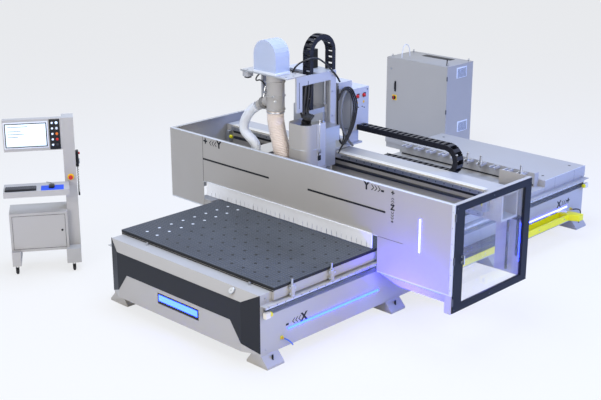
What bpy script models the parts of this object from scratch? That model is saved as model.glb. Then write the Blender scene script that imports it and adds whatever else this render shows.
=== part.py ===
"""Gantry CNC router with nesting table, control desk and electrical cabinet.

Units are metres, +Z is up.  Dimensions are written in the machine's own axes: X runs along the bed
from the operator's end, Y to the left, Z up from the floor.  The finished model is moved so that
the middle of its footprint is the origin.
"""
import math

import bmesh
import bpy
from mathutils import Matrix, Vector

# ---------------------------------------------------------------- driving dimensions
GAP = 0.0003                     # clearance between pieces that touch

TABLE_LENGTH = 3.70
TABLE_HALF_WIDTH = 1.05
TABLE_TOP = 0.713
BOARD_THICKNESS = 0.030
TABLE_WALL, TABLE_PLATE = 0.055, 0.012
BED_FRONT = -0.140
REAR_REACH = 1.33                # bed behind the table
BED_REAR = TABLE_LENGTH + REAR_REACH
BED_HALF_WIDTH = 1.023
BED_BOTTOM = 0.103
BED_TOP = 0.597
CHANNEL_WALL = 0.020
CHANNEL_FLANGE = 0.120
TUBE_WALL = 0.010
LEDGE_REACH = 1.092
LEDGE_BOTTOM = 0.575
LEDGE_TOP = 0.580
FOOT_SETBACK = 0.105
FOOT_CENTRES = (-0.031, 1.618, 3.290, BED_REAR - FOOT_SETBACK)
FOOT_LENGTH = 0.205
FOOT_PLATE = 0.020
FOOT_INNER_TOE, FOOT_OUTER_TOE = 0.063, 0.008
LAP = 0.005                      # how far joined shapes run into each other
CUT_REACH = 0.100                # how far a cutter runs past what it cuts
FRAME_BAR_FRONT, FRAME_BAR_REAR, FRAME_BAR_WIDTH = 0.30, BED_REAR - 0.58, 0.15
FRAME_BAR_BOTTOM, FRAME_BAR_TOP = 0.20, 0.50
SPINE_HALF_WIDTH, SPINE_SETBACK = 0.10, 0.05

RAIL_BAR = 0.010                 # mounting bar behind each X rail and rack
RAIL_DEPTH = 0.027
RACK_DEPTH = 0.023
RAIL_BOTTOM, RAIL_TOP = 0.532, 0.562
RACK_BOTTOM, RACK_TOP = 0.476, 0.520
RAIL_START_SETBACK, RAIL_END_SETBACK = 0.040, 0.030

STOP_POSITIONS = (0.20, 0.70)
STOP_HALF_LENGTH = 0.020
STOP_INNER, STOP_OUTER = 1.0505, 1.0845
STOP_BODY_TOP = 0.690
PIN_RADIUS = 0.012
PIN_TOP = 0.745
PIN_LENGTH = 0.095
PIN_STROKE = 0.045
PIN_CLEARANCE = 0.0007

COVER_FRONT = -0.210
COVER_BOTTOM = 0.125
COVER_TOP = 0.671
COVER_BEVEL_Z = 0.5875
COVER_HALF_WIDTH = 1.020
COVER_FACE_HALF_WIDTH = 0.858
COVER_SHEET = 0.004
TRIM_THICKNESS = 0.004
TRIM_ARCH = ((0.858, 0.5875), (1.05, 0.6865), (1.05, 0.1209), (0.855, 0.204), (0.722, 0.385))

REAR_SHELF_LENGTH = 0.50         # low shelf between the table and the rear deck
REAR_DECK_START = TABLE_LENGTH + REAR_SHELF_LENGTH
REAR_DECK_TOP = 0.715
REAR_SHELF_TOP = 0.640
REAR_HALF_WIDTH = 1.030
REAR_SHEET = 0.012
TOOL_RACK_TOP = 0.800
TOOL_RACK_HALF_WIDTH = 0.94
FORK_COUNT = 10
FORK_PITCH = 0.18
FORK_TIP = 4.00
FORK_THICKNESS = 0.025
FORK_SLOT, FORK_PRONG = 0.040, 0.020
TOOL_RACK_DEPTH = 0.080

PANEL_FRONT = 1.282
PANEL_SHEET = 0.004
PANEL_TOP = 1.350
PANEL_LEFT = 1.830
PANEL_RIGHT = -1.962
PASS_LEFT, PASS_RIGHT, PASS_TOP = 1.306, -1.100, 0.855
PANEL_LEFT_BOTTOM, PANEL_RIGHT_BOTTOM = 0.583, 0.505
POST_WIDTH = 0.075
POST_BOTTOM = 0.333
RIM_WIDTH = 0.040
SKIRT_SETBACK = 0.048
SKIRT_BOTTOM = 0.410
SKIRT_SHEET = 0.003
SKIRT_CORNER = (-1.330, 0.470)   # Y where the slope starts, Z where it ends
ENCLOSURE_REAR_LEFT = 2.390
ENCLOSURE_REAR_RIGHT = 2.453
REAR_WALL_REACH, REAR_WALL_BOTTOM = -1.60, 0.35

BEAM_FRONT, BEAM_REAR = 2.080, 2.335
BEAM_BOTTOM, BEAM_TOP = 0.980, 1.250
BEAM_LEFT, BEAM_RIGHT = 1.80, -1.90
BEAM_WALL = 0.020
LEG_INNER, LEG_OUTER = 1.115, 1.250
LEG_BOTTOM = 0.500
LEG_FRONT, LEG_REAR, LEG_THROAT = 1.50, 2.40, 1.95
LEG_TOE_TOP, LEG_HEEL_TOP, LEG_THROAT_TOP = 0.60, 0.62, 0.70
ARM_BOTTOM, ARM_TOP, ARM_REACH = 0.600, 0.660, 0.150
RUNNER_STARTS, RUNNER_LENGTH = (1.60, 2.20), 0.12
Y_RAIL_DEPTH = 0.030
Y_RAIL_HEIGHT = 0.040
Y_RAIL_HALF_LENGTH = 1.70
Y_RAIL_BOTTOMS = {"upper": 1.20, "lower": 1.00}
RUNNER_GAP = 0.0005
Y_RUNNER_STARTS, Y_RUNNER_LENGTH = (0.18, 0.48), 0.10

CURTAIN_LEFT, CURTAIN_RIGHT = 1.24, -1.045
CURTAIN_BOTTOM, CURTAIN_TOP = 0.722, 0.870
CURTAIN_THICKNESS = 0.018

DOOR_NEAR, DOOR_FAR = 1.300, 2.455
DOOR_BOTTOM, DOOR_TOP = 0.336, 1.340
DOOR_THICKNESS = 0.030
DOOR_NEAR_STILE, DOOR_FAR_STILE, DOOR_RAIL = 0.130, 0.095, 0.065
GLASS_THICKNESS = 0.006
HANDLE_X = 1.404
HANDLE_BOTTOM, HANDLE_TOP = 0.783, 0.863
HANDLE_WIDTH, HANDLE_REACH, HANDLE_BAR = 0.014, 0.030, 0.009
HINGE_OFFSET = 0.004

X_CHAIN_INNER, X_CHAIN_WIDTH = 1.071, 0.100
X_CHAIN_THICKNESS, X_CHAIN_RADIUS = 0.040, 0.050
X_CHAIN_FIXED_END, X_CHAIN_BEND, X_CHAIN_GANTRY_END = 2.32, 3.20, 1.57
X_CHAIN_BRACKET = 0.060
TRAY_START, TRAY_END = 2.30, 4.50
TRAY_BOTTOM, TRAY_HEIGHT, TRAY_SHEET = 0.220, 0.070, 0.003
TRAY_CLEARANCE = 0.011
TRAY_BRACKET = 0.050

Y_CHAIN_FRONT, Y_CHAIN_WIDTH = 2.340, 0.104
Y_CHAIN_THICKNESS, Y_CHAIN_RADIUS = 0.060, 0.130
Y_CHAIN_LOW_CENTRE = 1.210
Y_CHAIN_FIXED_END, Y_CHAIN_BEND = -0.23, -1.03
CHAIN_SHELF_BOTTOM, CHAIN_SHELF_TOP = 1.165, 1.175
CHAIN_SHELF_RIGHT, CHAIN_SHELF_LEFT = -1.30, 0.0

HEAD_RIGHT, HEAD_LEFT = 0.126, 0.620
HEAD_PLATE = 0.020
BACK_PLATE_FRONT, BACK_PLATE_THICKNESS = 1.980, 0.040
FRAME_FRONT, FRAME_REAR = 1.480, 2.045
FRAME_TOP, FRAME_BOTTOM, FRAME_FRONT_POST_BOTTOM = 2.110, 1.190, 1.760
FRAME_POST, FRAME_BAR = 0.080, 0.090
FRAME_CAP_START = 1.800
SADDLE_BOTTOM, SADDLE_TOP, SADDLE_REAR = 1.262, 1.280, 2.500
Z_RIB_DEPTH = 0.025
Z_RIB_CENTRES = (0.200, 0.550)
Z_RIB_WIDTH, Z_RIB_TOP = 0.020, 2.000

Z_CHAIN_RIGHT, Z_CHAIN_WIDTH = 0.150, 0.100
Z_CHAIN_THICKNESS, Z_CHAIN_RADIUS = 0.055, 0.160
Z_CHAIN_BEND = (1.8775, 2.2965)  # X and Z of the bend's centre
Z_CHAIN_ARM_TOP = 1.750

SPINDLE_X, SPINDLE_Y = 1.560, 0.080
SPINDLE_RADIUS = 0.065
SPINDLE_NOSE_RADIUS, SPINDLE_NOSE_LENGTH = 0.045, 0.060
CHUCK_RADIUS, TOOL_RADIUS, TOOL_LENGTH = 0.030, 0.008, 0.035
SPINDLE_BOTTOM, SPINDLE_TOP = 1.060, 1.620
TOOL_TIP = 0.950
SLIDE_FRONT, SLIDE_THICKNESS = 1.900, 0.025
SLIDE_BOTTOM, SLIDE_TOP = 1.250, 1.720
SLIDE_RIGHT, SLIDE_LEFT = 0.170, 0.580
SCREW_X, SCREW_Y, SCREW_RADIUS = 1.955, 0.380, 0.010
SCREW_BOTTOM, SCREW_TOP = 1.250, 2.085
NUT_BOTTOM, NUT_TOP = 1.45, 1.52
NUT_CLEARANCE = 0.0015
NUT_HALF_WIDTH, NUT_REACH = 0.025, 0.017
PAD_SETBACK, SHELF_LAP = 0.020, 0.080
MOTOR_HALF_WIDTH, MOTOR_HEIGHT = 0.045, 0.19
BRACKET_BOTTOM, BRACKET_TOP = 1.450, 1.600

SHROUD_FRONT, SHROUD_BACK = 1.420, 1.700
SHROUD_RIGHT, SHROUD_LEFT = -0.060, 0.220
SHROUD_BOTTOM, SHROUD_TOP = 1.190, 1.670
SHROUD_CORNER, SHROUD_SHEET = 0.080, 0.004
PORT_TAB = 0.045                 # reach of the tab between the shroud and the hose port
BORE_FRONT, BORE_REAR, BORE_RIGHT, BORE_LEFT = 1.720, 1.860, -0.040, 0.100
BORE_BOTTOM, BORE_TIP = 1.200, 1.120
BORE_BIT_RADIUS, BORE_PITCH = 0.006, 0.032

DUCT_X, DUCT_Y, DUCT_RADIUS, DUCT_SHEET = 1.450, 0.387, 0.090, 0.004
DUCT_BOTTOM, DUCT_TOP = 1.756, 2.143
DUCT_PLATE = (1.360, 1.620, 0.130, 0.790)
DUCT_PLATE_THICKNESS = 0.012
HOOD_RIGHT, HOOD_LEFT, HOOD_TOP = 0.285, 0.595, 2.460
HOOD_DEPTH, HOOD_SHEET = 0.190, 0.004
HOSE_RADIUS = 0.087
HOSE_CUFF = 0.008                # straight length at each end of a hose
HOSE_PORT = (1.470, 0.310)
HOSE_BOTTOM, PORT_BOTTOM = 1.200, 1.140
BRANCH_RADIUS = 0.050
BRANCH_NECK = ((1.425, 0.440, 1.860), (1.425, 0.590, 1.780))
BRANCH_ROUTE = ((1.425, 0.620, 1.764), (1.425, 0.715, 1.700), (1.425, 0.800, 1.590),
                (1.425, 0.815, 1.480), (1.450, 0.720, 1.385), (1.460, 0.690, 1.340),
                (1.460, 0.690, 1.300))
BRANCH_PORT_BOTTOM = 1.260

BOX_FRONT, BOX_REAR, BOX_RIGHT, BOX_LEFT = 2.260, 2.520, 0.100, 0.400
BOX_BOTTOM, BOX_TOP = 1.440, 1.875
SMALL_BOX_REACH, SMALL_BOX_LAP, SMALL_BOX_RISE = 0.160, 0.040, 0.085
STAND_WIDTH, STAND_OFFSET = 0.040, 0.100

DESK_X, DESK_Y = -0.1675, 2.16  # middle of the control desk's front casters
DESK_TURN = math.atan2(-0.568, 0.824)
DESK_LEFT, DESK_RIGHT = -0.335, 0.368
DESK_BASE_RIGHT = 0.250
DESK_BASE_FRONT, DESK_BASE_BACK = 0.030, 0.350
DESK_BASE_BOTTOM, DESK_BASE_TOP = 0.234, 0.650
DESK_COLUMN_FRONT, DESK_COLUMN_BACK = 0.100, 0.280
DESK_TOP = 1.620
DESK_FOOT_FRONT, DESK_FOOT_BACK, DESK_FOOT_WIDTH = -0.030, 0.430, 0.090
DESK_SHEET = 0.003
MONITOR_BOTTOM, MONITOR_BACK = 1.290, 0.170
DESK_TRAY_BOTTOM, DESK_TRAY_TOP, DESK_TRAY_FRONT = 0.890, 0.950, -0.180
DESK_TRAY_LEFT, DESK_TRAY_RIGHT = -0.360, 0.290
E_STOP_X, E_STOP_Z = 0.309, 0.995
E_STOP_HEAD, E_STOP_HEIGHT, E_STOP_STEM, E_STOP_STROKE = 0.021, 0.024, 0.010, 0.006
E_STOP_CLEARANCE = 0.002
CASTER_X, CASTER_REAR_Y, CASTER_TRAIL = 0.2895, 0.400, 0.020
WHEEL_RADIUS, WHEEL_HALF_WIDTH = 0.035, 0.012
WHEEL_CLEARANCE = 0.0005
FORK_CHEEK, FORK_PLATE, FORK_OVERHANG = 0.004, 0.0065, 0.015
FORK_TOP = 0.100

CABINET_FRONT, CABINET_RIGHT = 6.040, 1.720
CABINET_WIDTH, CABINET_DEPTH, CABINET_HEIGHT = 1.060, 0.560, 1.310
CABINET_SHEET = 0.005
CABINET_PLINTH = 0.080
CABINET_DOOR_THICKNESS = 0.020
SWITCH_Y, SWITCH_Z, SWITCH_RADIUS, SWITCH_LENGTH = 2.630, 0.751, 0.026, 0.024

# ---------------------------------------------------------------- scene and helpers
for old in list(bpy.data.objects):
    bpy.data.objects.remove(old, do_unlink=True)

PARTS = bpy.data.collections.new("cnc_router")
CUTTERS = bpy.data.collections.new("cutters")
for collection in (PARTS, CUTTERS):
    bpy.context.scene.collection.children.link(collection)

PLANES = {"X": Matrix(((0, 0, 1), (1, 0, 0), (0, 1, 0))),
          "Y": Matrix(((1, 0, 0), (0, 0, -1), (0, 1, 0))),
          "Z": Matrix.Identity(3)}


def finish(name, color, roughness, metallic=0.0):
    """A Principled material in a linear colour."""
    made = bpy.data.materials.new(name)
    made.use_nodes = True
    shader = made.node_tree.nodes["Principled BSDF"]
    shader.inputs["Base Color"].default_value = (*color, 1.0)
    shader.inputs["Roughness"].default_value = roughness
    shader.inputs["Metallic"].default_value = metallic
    return made


LIGHT = finish("light_grey_paint", (0.44, 0.43, 0.40), 0.45)
DARK = finish("anthracite_paint", (0.055, 0.057, 0.062), 0.40)
BOARD = finish("dark_phenolic_board", (0.08, 0.09, 0.11), 0.55)
STEEL = finish("bare_steel", (0.55, 0.55, 0.56), 0.30, 1.0)
BLACK = finish("black_plastic", (0.012, 0.012, 0.014), 0.50)
FLAP = finish("white_flap", (0.75, 0.76, 0.78), 0.60)
CLEAR = finish("clear_sheet", (0.80, 0.86, 0.92), 0.10)
HOSE = finish("ribbed_hose", (0.75, 0.55, 0.42), 0.40)
YELLOW = finish("yellow_paint", (0.80, 0.75, 0.02), 0.45)
RED = finish("red_plastic", (0.65, 0.02, 0.02), 0.35)


def mesh_object(name, mesh, location=(0, 0, 0), rotation=None):
    made = bpy.data.objects.new(name, mesh)
    made.location = location
    if rotation is not None:
        made.rotation_euler = rotation.to_euler()
    PARTS.objects.link(made)
    return made


def box(low, high, name="block"):
    low, high = Vector(low), Vector(high)
    mesh = bpy.data.meshes.new(name)
    shape = bmesh.new()
    bmesh.ops.create_cube(shape, size=1.0, matrix=Matrix.Diagonal((*(high - low), 1.0)))
    shape.to_mesh(mesh)
    shape.free()
    return mesh_object(name, mesh, (low + high) / 2)


def rod(start, end, radius, sides=16, name="rod"):
    start, end = Vector(start), Vector(end)
    along = end - start
    mesh = bpy.data.meshes.new(name)
    shape = bmesh.new()
    bmesh.ops.create_cone(shape, cap_ends=True, segments=sides, radius1=radius, radius2=radius,
                          depth=along.length)
    shape.to_mesh(mesh)
    shape.free()
    mesh.shade_smooth()
    mesh.set_sharp_from_angle(angle=math.radians(40))
    turn = Vector((0, 0, 1)).rotation_difference(along).to_matrix()
    return mesh_object(name, mesh, (start + end) / 2, turn)


def prism(outline, axis, low, high, name="prism"):
    """A flat outline, drawn in the plane across axis, with flat faces at low and high."""
    curve = bpy.data.curves.new(name, "CURVE")
    curve.dimensions = "2D"
    curve.fill_mode = "BOTH"
    curve.extrude = (high - low) / 2
    line = curve.splines.new("POLY")
    line.points.add(len(outline) - 1)
    for point, (across, up) in zip(line.points, outline):
        point.co = (across, up, 0, 1)
    line.use_cyclic_u = True
    drawn = bpy.data.objects.new(name, curve)
    PARTS.objects.link(drawn)
    bpy.context.view_layer.update()
    mesh = bpy.data.meshes.new_from_object(drawn.evaluated_get(bpy.context.evaluated_depsgraph_get()))
    bpy.data.objects.remove(drawn)
    shape = bmesh.new()
    shape.from_mesh(mesh)
    bmesh.ops.remove_doubles(shape, verts=shape.verts, dist=1e-5)
    bmesh.ops.recalc_face_normals(shape, faces=shape.faces)
    shape.to_mesh(mesh)
    shape.free()
    plane = PLANES[axis]
    return mesh_object(name, mesh, plane @ Vector((0, 0, (low + high) / 2 * (-1 if axis == "Y" else 1))),
                       plane)


def tube(route, radius, name, steps=6):
    """A hose along a smooth curve through the route's points."""
    points = []
    ends = [Vector(route[0]) * 2 - Vector(route[1]), *map(Vector, route),
            Vector(route[-1]) * 2 - Vector(route[-2])]
    for before, start, stop, after in zip(ends, ends[1:], ends[2:], ends[3:]):
        for step in range(steps):
            t = step / steps
            points.append(0.5 * (2 * start + (stop - before) * t
                                 + (2 * before - 5 * start + 4 * stop - after) * t ** 2
                                 + (3 * start - before - 3 * stop + after) * t ** 3))
    first, last = Vector(route[0]), Vector(route[-1])
    points.insert(1, first + (Vector(route[1]) - first).normalized() * HOSE_CUFF)
    points += [last - (last - Vector(route[-2])).normalized() * HOSE_CUFF, last]
    curve = bpy.data.curves.new(name, "CURVE")
    curve.dimensions = "3D"
    curve.bevel_depth = radius
    curve.bevel_resolution = 2
    curve.use_fill_caps = True
    line = curve.splines.new("POLY")
    line.points.add(len(points) - 1)
    for point, place in zip(line.points, points):
        point.co = (*place, 1)
    made = bpy.data.objects.new(name, curve)
    PARTS.objects.link(made)
    return made


def combine(base, others, operation):
    for other in others:
        step = base.modifiers.new(operation.lower(), "BOOLEAN")
        step.operation = operation
        step.object = other
        other.parent = base
        other.matrix_parent_inverse = base.matrix_basis.inverted()
        PARTS.objects.unlink(other)
        CUTTERS.objects.link(other)
        other.hide_render = True
        other.display_type = "WIRE"
    return base


def join(base, *others):
    return combine(base, others, "UNION")


def cut(base, *others):
    return combine(base, others, "DIFFERENCE")


def common(base, *others):
    return combine(base, others, "INTERSECT")


def arc(centre, radius, start, stop, steps=8):
    angles = [math.radians(start + (stop - start) * step / steps) for step in range(steps + 1)]
    return [(centre[0] + radius * math.cos(a), centre[1] + radius * math.sin(a)) for a in angles]


def half_ring(centre, radius, thickness, start, steps=12):
    """Outline of a chain's bend, half a turn counter-clockwise from the start angle."""
    outer = arc(centre, radius + thickness / 2, start, start + 180, steps)
    inner = arc(centre, radius - thickness / 2, start, start + 180, steps)
    return outer + inner[::-1]


def frame_of(pivot):
    """The pivot's place in the machine's axes."""
    place = Matrix.Identity(4)
    while pivot is not None:
        place = pivot.matrix_basis @ place
        pivot = pivot.parent
    return place


def empty(name, place, parent=None, turn=0.0):
    """A pivot on a joint's axis; place is in the machine's axes."""
    made = bpy.data.objects.new(name, None)
    made.empty_display_size = 0.1
    standing = Matrix.Translation(place) @ Matrix.Rotation(turn, 4, "Z")
    made.matrix_basis = frame_of(parent).inverted() @ standing
    made.parent = parent
    PARTS.objects.link(made)
    return made


def add(name, shape, material, pivot):
    """Name a finished shape, give it its material and hang it on its pivot."""
    shape.name = name
    shape.data.name = name
    shape.data.materials.clear()
    shape.data.materials.append(material)
    shape.parent = pivot
    shape.matrix_parent_inverse = frame_of(pivot).inverted()
    return shape


def add_to_desk(name, shape, material, pivot):
    """Like add, for a shape that is drawn in the control desk's own axes."""
    shape.matrix_basis = DESK @ shape.matrix_basis
    return add(name, shape, material, pivot)


ROOT = empty("machine", (0, 0, 0))
DESK = Matrix.Translation((DESK_X, DESK_Y, 0)) @ Matrix.Rotation(DESK_TURN, 4, "Z")


# ---------------------------------------------------------------- bed and table
def bed_side(side):
    """Folded side channel with the rail ledge, four levelling feet and, on the right, the stops."""
    flange = BED_HALF_WIDTH - CHANNEL_FLANGE
    web = BED_HALF_WIDTH - CHANNEL_WALL
    profile = [(flange, BED_BOTTOM), (BED_HALF_WIDTH, BED_BOTTOM), (BED_HALF_WIDTH, LEDGE_BOTTOM),
               (LEDGE_REACH, LEDGE_BOTTOM), (LEDGE_REACH, LEDGE_TOP), (BED_HALF_WIDTH, LEDGE_TOP),
               (BED_HALF_WIDTH, BED_TOP), (flange, BED_TOP), (flange, BED_TOP - CHANNEL_WALL),
               (web, BED_TOP - CHANNEL_WALL), (web, BED_BOTTOM + CHANNEL_WALL),
               (flange, BED_BOTTOM + CHANNEL_WALL)]
    channel = prism([(side * y, z) for y, z in profile], "X", BED_FRONT, BED_REAR)
    inner, outer = flange - FOOT_INNER_TOE, LEDGE_REACH + FOOT_OUTER_TOE
    neck = BED_BOTTOM + LAP
    foot = [(inner, 0), (outer, 0), (outer, FOOT_PLATE), (BED_HALF_WIDTH - LAP, neck),
            (flange + LAP, neck), (inner, FOOT_PLATE)]
    feet = [prism([(side * y, z) for y, z in foot], "X", x - FOOT_LENGTH / 2, x + FOOT_LENGTH / 2)
            for x in FOOT_CENTRES]
    join(channel, *feet)
    if side < 0:
        middle = -(STOP_INNER + STOP_OUTER) / 2
        for x in STOP_POSITIONS:
            join(channel, box((x - STOP_HALF_LENGTH, -STOP_OUTER, LEDGE_BOTTOM + 0.002),
                              (x + STOP_HALF_LENGTH, -STOP_INNER, STOP_BODY_TOP)))
            bottom = PIN_TOP - PIN_LENGTH - PIN_STROKE - LAP
            cut(channel, rod((x, middle, bottom), (x, middle, STOP_BODY_TOP + LAP),
                             PIN_RADIUS + PIN_CLEARANCE, 12))
    return channel


def build_bed():
    for name, side in (("left", 1), ("right", -1)):
        add("bed_side_" + name, bed_side(side), LIGHT, ROOT)
        start = BED_HALF_WIDTH + GAP
        rail = [(start, RACK_BOTTOM), (start + RACK_DEPTH, RACK_BOTTOM), (start + RACK_DEPTH, RACK_TOP),
                (start + RAIL_BAR, RACK_TOP), (start + RAIL_BAR, RAIL_BOTTOM),
                (start + RAIL_DEPTH, RAIL_BOTTOM), (start + RAIL_DEPTH, RAIL_TOP), (start, RAIL_TOP)]
        bar = prism([(side * y, z) for y, z in rail], "X", BED_FRONT + RAIL_START_SETBACK,
                    BED_REAR - RAIL_END_SETBACK)
        add("x_rail_" + name, bar, STEEL, ROOT)
    reach = BED_HALF_WIDTH - CHANNEL_WALL - GAP
    low, high = FRAME_BAR_BOTTOM, FRAME_BAR_TOP
    bars = [box((start, -reach, low), (start + FRAME_BAR_WIDTH, reach, high))
            for start in (FRAME_BAR_FRONT, FRAME_BAR_REAR)]
    spine = box((FRAME_BAR_FRONT + FRAME_BAR_WIDTH - LAP, -SPINE_HALF_WIDTH, low + SPINE_SETBACK),
                (FRAME_BAR_REAR + LAP, SPINE_HALF_WIDTH, high - SPINE_SETBACK))
    frame = join(bars[0], spine, bars[1])
    for start in (FRAME_BAR_FRONT, FRAME_BAR_REAR):
        cut(frame, box((start + TUBE_WALL, -reach - CUT_REACH, low + TUBE_WALL),
                       (start + FRAME_BAR_WIDTH - TUBE_WALL, reach + CUT_REACH, high - TUBE_WALL)))
    add("bed_cross_frame", frame, LIGHT, ROOT)
    board_bottom = TABLE_TOP - BOARD_THICKNESS
    table = box((0, -TABLE_HALF_WIDTH, BED_TOP + GAP),
                (TABLE_LENGTH, TABLE_HALF_WIDTH, board_bottom - GAP))
    cut(table, box((TABLE_WALL, TABLE_WALL - TABLE_HALF_WIDTH, BED_TOP - CUT_REACH),
                   (TABLE_LENGTH - TABLE_WALL, TABLE_HALF_WIDTH - TABLE_WALL, board_bottom - TABLE_PLATE)))
    add("vacuum_table", table, LIGHT, ROOT)
    add("matrix_board", box((0, -TABLE_HALF_WIDTH, board_bottom),
                            (TABLE_LENGTH, TABLE_HALF_WIDTH, TABLE_TOP)), BOARD, ROOT)
    middle = -(STOP_INNER + STOP_OUTER) / 2
    for name, x in zip(("front", "rear"), STOP_POSITIONS):
        pivot = empty("stop_pin_axis_" + name, (x, middle, PIN_TOP), ROOT)
        add("stop_pin_" + name, rod((x, middle, PIN_TOP - PIN_LENGTH), (x, middle, PIN_TOP),
                                    PIN_RADIUS), STEEL, pivot)


def cover_outline(offset, back):
    """Plan view of the front cover, grown outward by offset."""
    shoulder = BED_FRONT - LAP
    slope = math.hypot(COVER_HALF_WIDTH - COVER_FACE_HALF_WIDTH, shoulder - COVER_FRONT)
    turn = offset * (slope - (COVER_HALF_WIDTH - COVER_FACE_HALF_WIDTH)) / (shoulder - COVER_FRONT)
    side = COVER_HALF_WIDTH + offset
    front = COVER_FRONT - offset
    step = (shoulder - COVER_FRONT) / (COVER_HALF_WIDTH - COVER_FACE_HALF_WIDTH)
    face = COVER_FACE_HALF_WIDTH + turn
    edge = front + (side - face) * step
    return [(back, side), (edge, side), (front, face), (front, -face), (edge, -side), (back, -side)]


def build_front():
    back = BED_FRONT - GAP
    cover = prism(cover_outline(0, back), "Z", COVER_BOTTOM, COVER_TOP)
    join(cover, box((back - LAP, -COVER_HALF_WIDTH, BED_TOP + GAP),
                    (-GAP, COVER_HALF_WIDTH, COVER_TOP)))
    run, rise = BED_FRONT - LAP - COVER_FRONT, COVER_TOP - COVER_BEVEL_Z
    wedge = [(COVER_FRONT + 4 * run, COVER_BEVEL_Z + 4 * rise),
             (COVER_FRONT - 2 * run, COVER_BEVEL_Z - 2 * rise),
             (COVER_FRONT - 6 * run, COVER_BEVEL_Z + 4 * rise)]
    cut(cover, prism(wedge, "Y", -COVER_HALF_WIDTH - CUT_REACH, COVER_HALF_WIDTH + CUT_REACH))
    pocket = COVER_FACE_HALF_WIDTH - COVER_SHEET
    cut(cover, box((COVER_FRONT + COVER_SHEET, -pocket, COVER_BOTTOM + COVER_SHEET),
                   (BED_FRONT + LAP, pocket, COVER_BEVEL_Z - COVER_SHEET)),
        box((BED_FRONT, -pocket, BED_TOP - LAP), (-GAP - COVER_SHEET, pocket, COVER_TOP - COVER_SHEET)))
    add("front_cover", cover, LIGHT, ROOT)

    band = prism(cover_outline(TRIM_THICKNESS, back), "Z", COVER_BOTTOM, COVER_TOP + 2 * LAP)
    cut(band, prism(cover_outline(GAP, back + CUT_REACH), "Z", COVER_BOTTOM - CUT_REACH,
                    COVER_TOP + CUT_REACH))
    arch = [*TRIM_ARCH, *[(-y, z) for y, z in reversed(TRIM_ARCH)]]
    arch = prism(arch, "X", COVER_FRONT - CUT_REACH, BED_FRONT + CUT_REACH)
    add("front_trim", common(band, arch), DARK, ROOT)


def build_rear():
    start = TABLE_LENGTH + GAP
    low = BED_TOP + GAP
    step = [(start, low), (BED_REAR, low), (BED_REAR, REAR_DECK_TOP), (REAR_DECK_START, REAR_DECK_TOP),
            (REAR_DECK_START, REAR_SHELF_TOP), (start, REAR_SHELF_TOP)]
    deck = prism(step, "Y", -REAR_HALF_WIDTH, REAR_HALF_WIDTH)
    wall = REAR_SHEET
    cut(deck, box((REAR_DECK_START + wall, wall - REAR_HALF_WIDTH, low - CUT_REACH),
                  (BED_REAR - wall, REAR_HALF_WIDTH - wall, REAR_DECK_TOP - wall)))
    add("rear_cover", deck, LIGHT, ROOT)

    back = REAR_DECK_START - GAP
    front = back - TOOL_RACK_DEPTH
    root = front - FORK_PRONG
    comb = [(front + LAP, -TOOL_RACK_HALF_WIDTH)]
    for number in range(FORK_COUNT):
        centre = (number - (FORK_COUNT - 1) / 2) * FORK_PITCH
        inner = FORK_SLOT / 2
        outer = inner + FORK_PRONG
        comb += [(front, centre - outer), (FORK_TIP, centre - outer), (FORK_TIP, centre - inner),
                 (root, centre - inner), (root, centre + inner),
                 (FORK_TIP, centre + inner), (FORK_TIP, centre + outer), (front, centre + outer)]
    comb += [(front + LAP, TOOL_RACK_HALF_WIDTH)]
    rack = box((front, -TOOL_RACK_HALF_WIDTH, REAR_SHELF_TOP + GAP),
               (back, TOOL_RACK_HALF_WIDTH, TOOL_RACK_TOP))
    join(rack, prism(comb, "Z", TOOL_RACK_TOP - FORK_THICKNESS, TOOL_RACK_TOP - LAP / 2))
    add("tool_rack", rack, LIGHT, ROOT)


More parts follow.
